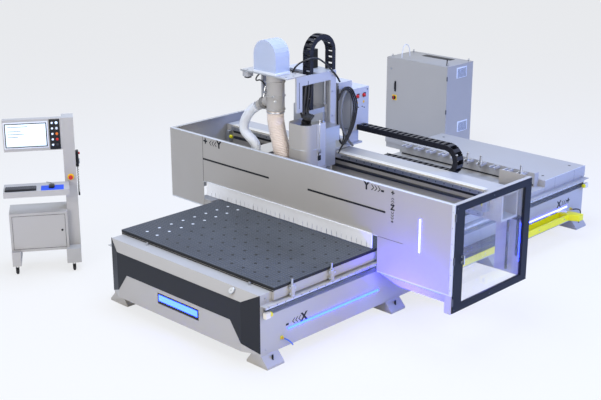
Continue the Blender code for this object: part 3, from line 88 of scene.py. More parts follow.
# ---------------------------------------------------------------- shader groups
def group_of(name, inputs, outputs):
    made = bpy.data.node_groups.new(name, "ShaderNodeTree")
    for label, kind, value in inputs:
        socket = made.interface.new_socket(label, in_out="INPUT", socket_type="NodeSocket" + kind)
        socket.default_value = value
    for label, kind in outputs:
        made.interface.new_socket(label, in_out="OUTPUT", socket_type="NodeSocket" + kind)
    return made, made.nodes.new("NodeGroupInput"), made.nodes.new("NodeGroupOutput")


def feed(tree, socket, value):
    """Link another node's output to a socket, or set its number."""
    if isinstance(value, bpy.types.NodeSocket):
        tree.links.new(value, socket)
    else:
        socket.default_value = value


def calc(tree, operation, *values, kind="ShaderNodeMath"):
    """One step of arithmetic on numbers or other nodes' outputs."""
    node = tree.nodes.new(kind)
    node.operation = operation
    for socket, value in zip(node.inputs, values):
        feed(tree, socket, value)
    return node.outputs[0]


def noise(tree, place, scale, detail):
    node = tree.nodes.new("ShaderNodeTexNoise")
    for label, value in (("Vector", place), ("Scale", scale), ("Detail", detail)):
        feed(tree, node.inputs[label], value)
    return node.outputs["Fac"]


def shaded(tree, color, factor):
    """A colour made lighter or darker by a factor."""
    node = tree.nodes.new("ShaderNodeVectorMath")
    node.operation = "SCALE"
    feed(tree, node.inputs[0], color)
    feed(tree, node.inputs["Scale"], factor)
    return node.outputs[0]


def painted_surface():
    """Mottled colour, uneven gloss and a fine orange peel; faces that look up turn paler and bluer in noisy
    patches, partly dust and partly painted light from above.
    """
    group, start, end = group_of(
        "painted_surface",
        [("Color", "Color", (0.5, 0.5, 0.5, 1)), ("Dust", "Color", (0.7, 0.7, 0.7, 1)),
         ("Dust And Top Light Amount", "Float", 0.1), ("Roughness", "Float", 0.4), ("Mottle", "Float", 0.05),
         ("Grain", "Float", 300.0)],
        [("Color", "Color"), ("Roughness", "Float"), ("Height", "Float")])
    place = group.nodes.new("ShaderNodeTexCoord").outputs["Object"]
    broad = noise(group, place, 2.3, 5)
    centred = calc(group, "SUBTRACT", broad, 0.5)
    swing = calc(group, "MULTIPLY_ADD", centred, start.outputs["Mottle"], 1.0)
    # Faces that look up are mixed towards a pale blue-grey: dust and a painted cool light from above.
    normal, parts = group.nodes.new("ShaderNodeNewGeometry"), group.nodes.new("ShaderNodeSeparateXYZ")
    upward = group.nodes.new("ShaderNodeMapRange")
    upward.inputs["From Min"].default_value = 0.6
    group.links.new(normal.outputs["Normal"], parts.inputs[0])
    group.links.new(parts.outputs["Z"], upward.inputs["Value"])
    dust_and_top_light_share = calc(group, "MULTIPLY", upward.outputs["Result"], start.outputs["Dust And Top Light Amount"])
    mix = group.nodes.new("ShaderNodeMix")
    mix.data_type = "RGBA"
    share, clean, dust_and_top_light_color = (socket for socket in mix.inputs if socket.enabled)
    feed(group, share, calc(group, "MULTIPLY", dust_and_top_light_share, broad))
    feed(group, clean, shaded(group, start.outputs["Color"], swing))
    feed(group, dust_and_top_light_color, start.outputs["Dust"])
    mixed = next(socket for socket in mix.outputs if socket.enabled)
    gloss = calc(group, "MULTIPLY_ADD", centred, 0.12, start.outputs["Roughness"])
    peel = noise(group, place, start.outputs["Grain"], 3)
    for label, value in (("Color", mixed), ("Roughness", gloss), ("Height", peel)):
        feed(group, end.inputs[label], value)
    return group


def brushed_surface():
    """Fine scratches drawn out along one axis, with gloss that follows them."""
    group, start, end = group_of(
        "brushed_surface",
        [("Color", "Color", (0.6, 0.6, 0.6, 1)), ("Roughness", "Float", 0.3),
         ("Direction", "Vector", (4, 300, 300))],
        [("Color", "Color"), ("Roughness", "Float"), ("Height", "Float")])
    place = group.nodes.new("ShaderNodeTexCoord").outputs["Object"]
    drawn = calc(group, "MULTIPLY", place, start.outputs["Direction"], kind="ShaderNodeVectorMath")
    scratch = noise(group, drawn, 1.0, 4)
    shade = shaded(group, start.outputs["Color"], calc(group, "MULTIPLY_ADD", scratch, 0.22, 0.89))
    gloss = calc(group, "MULTIPLY_ADD", scratch, 0.15, start.outputs["Roughness"])
    for label, value in (("Color", shade), ("Roughness", gloss), ("Height", scratch)):
        feed(group, end.inputs[label], value)
    return group


PAINTED = painted_surface()
BRUSHED = brushed_surface()


def linear(color):
    """An sRGB colour of 0 to 255 as linear values."""
    return tuple((c / 255 / 12.92) if c <= 10 else ((c / 255 + 0.055) / 1.055) ** 2.4 for c in color)


def finish(name, slot, color, group, bump, metallic=0.0, **values):
    """A material whose colour, gloss and bump come from one of the surface groups."""
    made = bpy.data.materials.new(name)
    made.use_nodes = True
    tree = made.node_tree
    shader = tree.nodes["Principled BSDF"]
    shader.inputs["Metallic"].default_value = metallic
    surface = tree.nodes.new("ShaderNodeGroup")
    surface.node_tree = group
    surface.inputs["Color"].default_value = (*linear(color), 1)
    for label, value in values.items():
        target = surface if label in surface.inputs else shader
        target.inputs[label].default_value = value
    relief = tree.nodes.new("ShaderNodeBump")
    relief.inputs["Distance"].default_value = bump
    tree.links.new(surface.outputs["Color"], shader.inputs["Base Color"])
    tree.links.new(surface.outputs["Roughness"], shader.inputs["Roughness"])
    tree.links.new(surface.outputs["Height"], relief.inputs["Height"])
    tree.links.new(relief.outputs["Normal"], shader.inputs["Normal"])
    return made


def paint(name, slot, color, roughness, dust=0.25, mottle=0.06, grain=300.0, bump=0.0002, **more):
    # The pale blue-grey mixed into faces that look up is dust and painted top light.
    return finish(name, slot, color, PAINTED, bump, Roughness=roughness, Mottle=mottle, Grain=grain,
                  **{"Dust And Top Light Amount": dust, "Dust": (*linear((205, 213, 222)), 1)}, **more)


def metal(name, slot, color, roughness, direction=(4, 260, 260)):
    return finish(name, slot, color, BRUSHED, 0.0001, metallic=1.0, Roughness=roughness, Direction=direction)


def lamp(name, color, strength, glow=None):
    """A lit face; its glow, in linear values, may be deeper in colour than the face itself."""
    made = paint(name, "clear", color, 0.3, dust=0.0)
    shader = made.node_tree.nodes["Principled BSDF"]
    shader.inputs["Emission Color"].default_value = (*(glow or linear(color)), 1)
    shader.inputs["Emission Strength"].default_value = strength
    return made


def clear(name, color, roughness, transmission, alpha=1.0, slot="clear"):
    """Clear or milky plastic."""
    made = paint(name, slot, color, roughness, dust=0.0, mottle=0.05, bump=0.0001)
    shader = made.node_tree.nodes["Principled BSDF"]
    shader.inputs["Transmission Weight"].default_value = transmission
    shader.inputs["Alpha"].default_value = alpha
    shader.inputs["IOR"].default_value = 1.45
    return made


LIGHT = paint("warm_grey_paint", "light_paint", (176, 172, 166), 0.40)
# Folded rims: the panel paint made lighter and bluer, a painted highlight where light from above catches the
# edges.
RIM_HIGHLIGHT = paint("rim_highlight_paint", "light_paint", (205, 208, 212), 0.38, dust=0.4)
DARK = paint("anthracite_paint", "dark_paint", (38, 39, 42), 0.5, dust=0.03, **{"Specular IOR Level": 0.2})
DOOR_PAINT = paint("slate_paint", "dark_paint", (15, 20, 29), 0.45, dust=0.02, **{"Specular IOR Level": 0.2})
BOARD = paint("phenolic_board", "board", (72, 76, 82), 0.5, dust=0.05, mottle=0.5, grain=90,
              **{"Specular IOR Level": 0.3})
GROOVE = paint("board_groove", "board", (12, 13, 16), 0.7, dust=0.0, mottle=0.3, grain=90)
BLACK = paint("black_plastic", "black_plastic", (20, 21, 24), 0.45, dust=0.03, grain=600,
              **{"Specular IOR Level": 0.3})
CHAIN = paint("chain_plastic", "black_plastic", (16, 17, 26), 0.42, dust=0.06, grain=500,
              **{"Specular IOR Level": 0.35})
CABLE = paint("cable_jacket", "rubber", (22, 22, 24), 0.5, dust=0.05, grain=900)
RUBBER = paint("tread_rubber", "rubber", (30, 30, 31), 0.75, dust=0.08, grain=700)
STEEL = metal("ground_steel", "steel", (200, 201, 203), 0.25)
TURNED = metal("turned_steel", "steel", (178, 180, 184), 0.22, (40, 40, 900))
ALUMINIUM = metal("milled_aluminium", "aluminium", (196, 198, 200), 0.35, (6, 200, 200))
DARK_STEEL = metal("oiled_steel", "steel", (92, 95, 102), 0.35)
CREAM = paint("cream_rail_cover", "light_paint", (222, 214, 196), 0.45)
FLAP = paint("white_flap", "white_flap", (246, 246, 247), 0.55, dust=0.0, mottle=0.05, grain=500)
YELLOW = paint("yellow_paint", "yellow_paint", (238, 226, 14), 0.4, dust=0.1)
RED = paint("red_button", "red_plastic", (205, 28, 22), 0.28, dust=0.0)
ORANGE = paint("orange_button", "red_plastic", (236, 120, 24), 0.3, dust=0.0)
YELLOW_PLATE = paint("yellow_plate", "yellow_paint", (246, 196, 24), 0.4, dust=0.0)
BLUE_PAD = paint("blue_pad", "black_plastic", (40, 84, 214), 0.7, dust=0.0, grain=900)
BLUE_TUBE = paint("blue_tube", "black_plastic", (44, 92, 190), 0.3, dust=0.0)
KEY = paint("keycap", "black_plastic", (38, 40, 48), 0.5, dust=0.15, grain=900)
WHITE_PLASTIC = paint("white_plastic", "casing", (226, 230, 236), 0.4)
CASING = paint("casing_paint", "casing", (182, 178, 172), 0.42)
BRASS = metal("brass_fitting", "steel", (214, 178, 92), 0.3)
STRIP = lamp("blue_light_strip", (60, 110, 220), 16.0, glow=(0.012, 0.030, 1.0))
WHITE_STRIP = lamp("white_light_strip", (180, 200, 240), 16.0, glow=(0.056, 0.060, 1.0))
COOL = paint("cool_grey_paint", "light_paint", (186, 187, 191), 0.4, dust=0.3)
CAST = paint("cast_grey_paint", "light_paint", (124, 122, 118), 0.5, mottle=0.25, grain=200)
CONDUIT = paint("grey_conduit", "hose", (112, 114, 118), 0.5)
WHITE_LAMP = lamp("white_lamp", (205, 225, 255), 0.7)
SCREEN = lamp("lit_screen", (218, 234, 240), 0.55)
GAUGE_FACE = paint("gauge_face", "casing", (206, 206, 202), 0.35, dust=0.0)

GLASS = clear("clear_pane", (236, 242, 252), 0.0, 1.0, alpha=0.14)
MILKY = clear("milky_hood", (206, 216, 236), 0.18, 0.0, alpha=0.46)
HOSE = clear("ribbed_hose", (244, 228, 214), 0.3, 0.0, alpha=0.88, slot="hose")
WHITE_HOSE = clear("white_hose", (238, 240, 242), 0.4, 0.1, slot="white_flap")

NODE_FINISHES = {
    LIGHT: "bed_side_left bed_side_right bed_cross_frame front_cover rear_cover vacuum_table tool_rack "
           "gantry_beam gantry_leg_left gantry_leg_right gantry_panel extraction_duct dust_shroud "
           "cabinet_body cabinet_door",
    COOL: "y_carriage z_frame junction_box",
    CASING: "console_body monitor_housing keyboard_tray",
    DARK: "front_trim z_motor",
    DOOR_PAINT: "door_frame",
    STEEL: "x_rail_left x_rail_right y_rail_upper y_rail_lower door_handle z_slide",
    TURNED: "stop_pin_front stop_pin_rear spindle_motor tool_chuck z_ball_screw",
    ALUMINIUM: "bore_unit",
    BLACK: "caster_fork_left caster_fork_right main_switch",
    RUBBER: "caster_wheel_front_left caster_wheel_front_right caster_wheel_rear_left "
            "caster_wheel_rear_right",
    YELLOW: "x_chain_tray",
    GLASS: "door_glass",
    MILKY: "duct_hood",
    RED: "e_stop",
}
for material, names in NODE_FINISHES.items():
    for name in names.split():
        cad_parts[name].data.materials.clear()
        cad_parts[name].data.materials.append(material)


# ---------------------------------------------------------------- modelling helpers
SMOOTH_ANGLE = math.radians(35)


def clear_selection():
    if bpy.context.object is not None and bpy.context.object.mode != "OBJECT":
        bpy.ops.object.mode_set(mode="OBJECT")
    bpy.ops.object.select_all(action="DESELECT")


def pick(piece):
    clear_selection()
    piece.select_set(True)
    bpy.context.view_layer.objects.active = piece
    return piece


def settle(bevel=0.0, segments=2):
    """Apply the active object's place and round its edges."""
    piece = bpy.context.object
    bpy.ops.object.transform_apply(location=True, rotation=True, scale=True)
    if bevel:
        edge = piece.modifiers.new("edge", "BEVEL")
        edge.width = bevel
        edge.segments = segments
        edge.limit_method = "ANGLE"
        bpy.ops.object.modifier_apply(modifier=edge.name)
    bpy.ops.object.shade_smooth_by_angle(angle=SMOOTH_ANGLE)
    return piece


def mend(weld=0.0):
    """Weld near points of the active mesh and turn its faces outward."""
    bpy.ops.object.mode_set(mode="EDIT")
    bpy.ops.mesh.select_all(action="SELECT")
    if weld:
        bpy.ops.mesh.remove_doubles(threshold=weld)
    bpy.ops.mesh.normals_make_consistent(inside=False)
    bpy.ops.object.mode_set(mode="OBJECT")


def coat(piece, material):
    piece.data.materials.clear()
    piece.data.materials.append(material)
    return piece


def block(low, high, material, bevel=0.003, turn=0.0, segments=2):
    """A block with rounded edges between two corners in the machine's axes."""
    low, high = Vector(low), Vector(high)
    clear_selection()
    bpy.ops.mesh.primitive_cube_add(size=1, location=at(*((low + high) / 2)), rotation=(0, 0, turn),
                                    scale=high - low)
    return coat(settle(bevel, segments), material)


def grid(across, along, place, size, rotation=(0, 0, 0)):
    """A flat sheet of even cells."""
    clear_selection()
    bpy.ops.mesh.primitive_grid_add(x_subdivisions=across, y_subdivisions=along, size=1,
                                    location=at(*place), rotation=rotation)
    bpy.context.object.scale = (*size, 1)
    bpy.ops.object.transform_apply(location=True, rotation=True, scale=True)
    return bpy.context.object


def turned(base, direction, profile, material, sides=24):
    """A turned piece: profile lists radius and height, from the base along the direction."""
    clear_selection()
    radius, height = profile[0]
    bpy.ops.mesh.primitive_circle_add(vertices=sides, radius=radius, fill_type="NGON",
                                      location=(0, 0, height))
    bpy.ops.object.transform_apply(location=True)
    bpy.ops.object.mode_set(mode="EDIT")
    bpy.ops.mesh.select_all(action="SELECT")
    for (before, low), (after, high) in zip(profile, profile[1:]):
        bpy.ops.mesh.extrude_region_move(TRANSFORM_OT_translate={"value": (0, 0, high - low)})
        if after != before:
            bpy.ops.transform.resize(value=(after / before, after / before, 1),
                                     center_override=(0, 0, high))
    mend()
    piece = bpy.context.object
    piece.matrix_world = (Matrix.Translation(at(*base))
                          @ TOP.rotation_difference(Vector(direction)).to_matrix().to_4x4())
    return coat(settle(), material)


def bolt(base, direction, radius, material=None):
    """A hexagon bolt head on a washer."""
    return turned(base, direction, [(radius * 1.5, 0), (radius * 1.5, radius * 0.25),
                                    (radius, radius * 0.26), (radius, radius * 0.9),
                                    (radius * 0.8, radius)], material or TURNED, sides=6)


def pipe(points, radius, material, sides=4, steps=10, radii=None, smooth=True):
    """A round cable or hose along a smooth curve through the points."""
    clear_selection()
    curve = bpy.data.curves.new("pipe", "CURVE")
    curve.dimensions = "3D"
    curve.bevel_depth = radius
    curve.bevel_resolution = sides
    curve.use_fill_caps = True
    curve.resolution_u = steps
    line = curve.splines.new("BEZIER" if smooth else "POLY")
    if smooth:
        line.bezier_points.add(len(points) - 1)
        for knot, point in zip(line.bezier_points, points):
            knot.co = at(*point)
            knot.handle_left_type = knot.handle_right_type = "AUTO"
    else:
        line.points.add(len(points) - 1)
        for number, (knot, point) in enumerate(zip(line.points, points)):
            knot.co = (*at(*point), 1)
            knot.radius = radii[number] if radii else 1
    made = bpy.data.objects.new("pipe", curve)
    bpy.context.collection.objects.link(made)
    pick(made)
    bpy.ops.object.convert(target="MESH")
    mend(weld=0.0001)
    return coat(settle(), material)


def flat_shape(outline, thickness, corner, right, up, material, bevel=0.0):
    """A flat outline of the given thickness, drawn on a face with its own right and up directions."""
    clear_selection()
    curve = bpy.data.curves.new("outline", "CURVE")
    curve.dimensions = "2D"
    curve.fill_mode = "BOTH"
    curve.extrude = thickness / 2
    line = curve.splines.new("POLY")
    line.points.add(len(outline) - 1)
    for point, (across, height) in zip(line.points, outline):
        point.co = (across, height, 0, 1)
    line.use_cyclic_u = True
    made = bpy.data.objects.new("outline", curve)
    bpy.context.collection.objects.link(made)
    return lay_on(made, thickness, corner, right, up, material, bevel)


def lay_on(made, thickness, corner, right, up, material, bevel=0.0):
    """Turn a curve or text object into a mesh on a face."""
    pick(made)
    bpy.ops.object.convert(target="MESH")
    piece = bpy.context.object
    mend(weld=0.00001)
    right, up = Vector(right), Vector(up)
    out = right.cross(up)
    basis = Matrix((right, up, out)).transposed().to_4x4()
    piece.matrix_world = Matrix.Translation(at(*corner) + out * thickness / 2) @ basis
    return coat(settle(bevel), material)


def copies(piece, places):
    """Copies of a piece, one at each placing matrix; the first one is moved itself."""
    made = [piece]
    for place in places[1:]:
        twin = bpy.data.objects.new(piece.name, piece.data.copy())
        bpy.context.collection.objects.link(twin)
        twin.data.transform(place)
        made.append(twin)
    piece.data.transform(places[0])
    return made


def merge(pieces):
    """Join pieces into the first one."""
    clear_selection()
    for piece in pieces:
        piece.select_set(True)
    bpy.context.view_layer.objects.active = pieces[0]
    if len(pieces) > 1:
        bpy.ops.object.join()
    return bpy.context.object


def keep(name, body, *pieces):
    """Name a finished piece, joined from its parts, and let it ride on its body."""
    flat = []
    for piece in pieces:
        flat += piece if isinstance(piece, list) else [piece]
    piece = merge(flat)
    piece.name = piece.data.name = name
    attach(piece, body)
    return piece


def moved(dx=0.0, dy=0.0, dz=0.0):
    return Matrix.Translation((dx, dy, dz))


# ---------------------------------------------------------------- table board
TILE = 0.030
GROOVE_WIDTH, GROOVE_DEPTH = 0.0080, 0.004
PLUG_PITCH, PLUG_RADIUS, PLUG_START = 0.150, 0.0145, 0.06


def build_board():
    """Grooved board: a grid of raised tiles with a plug at every fifth crossing."""
    low, high = node_box("matrix_board")
    length, width = high.x - low.x, high.y - low.y
    across, along = round(length / TILE), round(width / TILE)
    board = grid(across, along, ((low.x + high.x) / 2, 0, high.z - GROOVE_DEPTH), (length, width))
    coat(board, BOARD)
    board.data.materials.append(GROOVE)
    bpy.ops.object.mode_set(mode="EDIT")
    bpy.ops.mesh.select_all(action="SELECT")
    bpy.ops.mesh.inset(thickness=GROOVE_WIDTH / 2, use_individual=True)
    bpy.ops.mesh.select_all(action="INVERT")
    board.active_material_index = 1
    bpy.ops.object.material_slot_assign()
    bpy.ops.mesh.select_all(action="INVERT")
    bpy.ops.transform.translate(value=(0, 0, GROOVE_DEPTH))
    bpy.ops.mesh.select_all(action="SELECT")
    bpy.ops.mesh.region_to_loop()
    bpy.ops.mesh.extrude_edges_move(
        TRANSFORM_OT_translate={"value": (0, 0, GROOVE_DEPTH - (high.z - low.z))})
    bpy.ops.mesh.edge_face_add()
    mend()
    keep("grooved_board", "root", board)
    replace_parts(board, "matrix_board")

    rows, columns = int(length / PLUG_PITCH), int(width / PLUG_PITCH)
    for name, material, wanted in (("board_plugs", BLACK, range(0, columns - 2)),
                                   ("board_inserts", WHITE_PLASTIC, range(columns - 2, columns))):
        plug = turned((PLUG_PITCH / 2, low.y + PLUG_PITCH / 2, high.z - 0.002), TOP,
                      [(PLUG_RADIUS, 0), (PLUG_RADIUS, 0.0022), (PLUG_RADIUS * 0.8, 0.0026)], material, 10)
        keep(name, "root", copies(plug, [moved(row * PLUG_PITCH + PLUG_START, column * PLUG_PITCH)
                                         for row in range(rows) for column in wanted]))


# ---------------------------------------------------------------- marks
MARK = 0.0012             # how thick a mark is
MARK_FACE, LIGHT_FACE = -1.0232, -1.0231  # Y of the bed's right face, where marks and lights sit


def chevron(size):
    """Outline of one open arrow that points right."""
    thick = size * 0.20
    half = size / 2
    return [(0, -half), (thick, -half), (half + thick, 0), (thick, half), (0, half), (half, 0)]


def letter(text, size, corner, right, up):
    """A letter or sign whose middle is at the corner given."""
    clear_selection()
    font = bpy.data.curves.new("letter", "FONT")
    font.body = text
    font.size = size * 1.5
    font.align_x, font.align_y = "CENTER", "CENTER"
    font.extrude = MARK / 2
    font.offset = size * 0.065
    font.resolution_u = 3
    made = bpy.data.objects.new("letter", font)
    bpy.context.collection.objects.link(made)
    return lay_on(made, MARK, corner, right, up, DARK)


def axis_mark(name, body, start, along, right, up, signs, size=0.070):
    """A row of signs: a letter, three open arrows and a plus or a minus."""
    start, along = Vector(start), Vector(along)
    right, up = Vector(right), Vector(up)
    made, reach = [], 0.0
    for sign in signs:
        here = start + along * reach
        if sign in "<>":
            turn = along if sign == ">" else -along
            side = right.cross(up).cross(turn)
            made.append(flat_shape(chevron(size * 0.75), MARK, here - turn * size * 0.3, turn, side, DARK))
            reach += size * 0.55
        else:
            if sign in "XYZ" and reach:
                reach += size * 0.25
                here = start + along * reach
            made.append(letter(sign, size, here, right, up))
            reach += size * 1.10
    return keep(name, body, made)


def build_marks():
    panel = node_box("gantry_panel")[0].x
    front = {"right": (0, -1, 0), "up": (0, 0, 1)}
    axis_mark("mark_y_left", "gantry", (panel, 1.262, 1.300), (0, -1, 0), signs="+<<<Y", **front)
    axis_mark("mark_y_right", "gantry", (panel, -0.958, 1.308), (0, -1, 0), signs="Y>>>-", **front)
    axis_mark("mark_z", "gantry", (panel, -1.271, 1.306), (0, 0, -1), signs="+<<<Z>>>-", size=0.046,
              **front)
    side = {"right": (1, 0, 0), "up": (0, 0, 1)}
    axis_mark("mark_x_front", "root", (0.186, MARK_FACE, 0.314), (1, 0, 0), signs="-<<<X", **side)
    axis_mark("mark_x_rear", "root", (4.530, MARK_FACE, 0.361), (1, 0, 0), signs="X>>>+", **side)
    keep("panel_stripes", "gantry",
         [block((panel - 0.0015, low, 1.0975), (panel, high, 1.1165), DARK, 0.0004)
          for low, high in ((0.318, 1.309), (-1.189, -0.215))])
    keep("panel_seams", "gantry",
         block((panel - 0.0010, 1.3045, 0.857), (panel, 1.3085, 1.348), DARK, 0.0003),
         block((panel - 0.0010, -1.40, 0.8545), (panel, -1.104, 0.8575), DARK, 0.0003))


# ---------------------------------------------------------------- light strips
def strip(name, body, low, high, light=STRIP):
    keep(name, body, block(low, high, light, 0.003))


def build_strips():
    panel = node_box("gantry_panel")[0].x
    strip("panel_light", "gantry", (panel - 0.008, -1.6005, 0.820), (panel, -1.5815, 1.140), WHITE_STRIP)
    strip("bed_light_front", "root", (0.190, LIGHT_FACE - 0.010, 0.258), (1.400, LIGHT_FACE, 0.276))
    strip("bed_light_rear", "root", (3.470, LIGHT_FACE - 0.010, 0.290), (4.700, LIGHT_FACE, 0.308),
          WHITE_STRIP)
    strip("skirt_light", "gantry", (panel + 0.012, -1.84, 0.494), (panel + 0.030, -1.14, 0.504))
    face = node_box("front_cover")[0].x
    keep("front_light_plate", "root",
         block((face - 0.002, -0.305, 0.240), (face - 0.0003, 0.265, 0.345), DARK, 0.0008))
    keep("front_light_bar", "root", block((face - 0.003, -0.290, 0.270), (face, 0.250, 0.330), STRIP, 0.0012))
    strip("bay_light", "gantry", (2.390, -1.915, 0.520), (2.402, -1.905, 0.900))


# ---------------------------------------------------------------- bed details
TABLE_SIDE = 1.050
RAIL_SCREW_PITCH, RACK_PITCH = 0.10, 0.0133
RAIL_SCREW = [(0.0065, 0), (0.0065, 0.0012), (0.005, 0.0016)]
FOOT_PLACES = (-0.031, 1.618, 3.290, 4.925)


def build_bed_details():
    gauge = Vector((-0.1765, -0.716, 0.640))
    slope = Vector((-0.78, 0, 0.62)).normalized()
    keep("gauge_rim", "root",
         turned(gauge, slope, [(0.0315, 0), (0.0315, 0.010), (0.028, 0.013)], TURNED, 32))
    keep("gauge_dial", "root",
         turned(gauge + slope * 0.0126, slope, [(0.027, 0), (0.0268, 0.0010)], GAUGE_FACE, 32))
    keep("gauge_hand", "root",
         turned(gauge + slope * 0.0136, slope, [(0.004, 0), (0.004, 0.001)], BLACK, 12))
    keep("table_pins", "root",
         [turned((-0.030, y, 0.671), TOP, [(0.012, 0), (0.012, 0.020), (0.009, 0.024)], TURNED, 16)
          for y in (-0.78, 0.62)])
    keep("cover_screws", "root",
         [bolt((-0.075, side * 1.0205, z), (0, side, 0), 0.007) for side in (-1, 1) for z in (0.15, 0.63)])
    low, high = 0.6835, 0.7105
    edge = [block((0.0, side * TABLE_SIDE - 0.0015, low), (3.70, side * TABLE_SIDE + 0.0015, high),
                  DARK, 0.0006) for side in (-1, 1)]
    edge.append(block((-0.0015, -TABLE_SIDE, low), (0.0, TABLE_SIDE, high), DARK, 0.0006))
    keep("board_edge", "root", edge)
    board = node_box("matrix_board")[0].x
    keep("board_seal", "root", block((board - 0.003, -1.045, 0.6715), (board, 1.045, 0.680), BLACK, 0.001))


def side_block(side, ends, reach, heights, material, **more):
    """A block beside the bed, on its left (1) or right (-1); reach is counted from the bed's middle."""
    near, far = sorted(side * distance for distance in reach)
    return block((ends[0], near, heights[0]), (ends[1], far, heights[1]), material, 0.001, **more)


def build_rails():
    """Runs of rail screws, the rack's teeth and the strips above them."""
    for name, side in (("left", 1), ("right", -1)):
        low, high = node_box("x_rail_" + name)
        inner, outer = sorted((abs(low.y), abs(high.y)))
        length, ends = high.x - low.x, (low.x, high.x)
        screw = turned((low.x + 0.04, side * (outer - 0.0005), 0.547), (0, side, 0), RAIL_SCREW,
                       DARK_STEEL, 8)
        keep("rail_screws_" + name, "root",
             copies(screw, [moved(n * RAIL_SCREW_PITCH) for n in range(int(length / RAIL_SCREW_PITCH))]))
        tooth = side_block(side, (low.x + 0.002, low.x + 0.008), (outer - 0.001, outer + 0.003),
                           (0.478, 0.518), DARK_STEEL, segments=1)
        keep("rack_teeth_" + name, "root",
             copies(tooth, [moved(n * RACK_PITCH) for n in range(int(length / RACK_PITCH))]))
        keep("rail_gap_strip_" + name, "root",
             side_block(side, ends, (inner + 0.002, inner + 0.012), (0.5205, 0.5315), BLACK))
        keep("ledge_strip_" + name, "root", side_block(side, ends, (1.060, 1.091), (0.5802, 0.5840), LIGHT))


def build_bumpers():
    """Hard stops at the ends of the X rails, air fittings, their tube and a cable."""
    for name, x, out in (("front", -0.104, -1), ("rear", 5.000, 1)):
        keep("end_stop_" + name, "root",
             block((x - 0.030, -1.088, 0.468), (x + 0.030, -1.0512, 0.522), CREAM, 0.004))
        keep("end_stop_cap_" + name, "root",
             turned((x - out * 0.030, -1.070, 0.495), (-out, 0, 0),
                    [(0.022, 0), (0.022, 0.020), (0.016, 0.028)], YELLOW, 20))
    for name, x, z in (("front", 0.115, 0.205), ("rear", 4.780, 0.250)):
        keep("air_fitting_" + name, "root",
             block((x - 0.016, -1.031, z - 0.016), (x + 0.016, -1.0235, z + 0.016), YELLOW, 0.003))
        keep("air_nipple_" + name, "root",
             turned((x, -1.031, z), SIDE, [(0.011, 0), (0.011, 0.020), (0.008, 0.026)], BRASS, 12))
    keep("air_tube", "root", pipe([(0.115, -1.052, 0.205), (0.13, -1.085, 0.195), (0.165, -1.092, 0.160),
                                   (0.20, -1.075, 0.125), (0.23, -1.045, 0.108)], 0.006, BLUE_TUBE))
    keep("rear_cable", "root", pipe([(4.780, -1.052, 0.250), (4.82, -1.085, 0.252), (4.88, -1.092, 0.225),
                                     (4.92, -1.075, 0.160), (4.90, -1.060, 0.118)], 0.007, CABLE))


def build_stops():
    """Clamps and rod guides on the two pneumatic side stops."""
    for name, x in (("front", 0.20), ("rear", 0.70)):
        keep("stop_caps_" + name, "root",
             [block((x - 0.0215, -1.0860, z), (x + 0.0215, -1.0512, z + 0.012), ALUMINIUM, 0.002)
              for z in (0.5802, 0.6780)])
        keep("stop_clamps_" + name, "root",
             [block((x - 0.034, -1.078, z), (x - 0.0205, -1.056, z + 0.020), STEEL, 0.002)
              for z in (0.600, 0.655)],
             block((x + 0.0205, -1.078, 0.640), (x + 0.046, -1.056, 0.662), STEEL, 0.002))
        keep("stop_collar_" + name, "root",
             turned((x, -1.0675, 0.690), TOP, [(0.0165, 0), (0.0165, 0.006), (0.0135, 0.009)], TURNED, 20))


def build_feet():
    """A jack bolt with its nuts and two gusset plates on every foot."""
    for name, side in (("right", -1), ("left", 1)):
        keep("foot_jacks_" + name, "root",
             [turned((x, side * 1.060, 0.020), TOP,
                     [(0.022, 0), (0.022, 0.008), (0.014, 0.009), (0.014, 0.026), (0.009, 0.027),
                      (0.009, 0.080)], BLACK, 12) for x in FOOT_PLACES])
        keep("foot_gussets_" + name, "root",
             [flat_shape([(1.0235, 0.104), (1.0235, 0.020), (1.096, 0.020), (1.090, 0.032)], 0.008,
                         (x + end, 0, 0), (0, side, 0), TOP, LIGHT, 0.001)
              for x in FOOT_PLACES for end in (-0.098, 0.090)])


# ---------------------------------------------------------------- curtain
CURTAIN_SETBACK, SLIT_SHARE, FLAP_TAPER = 0.007, 0.72, 0.09


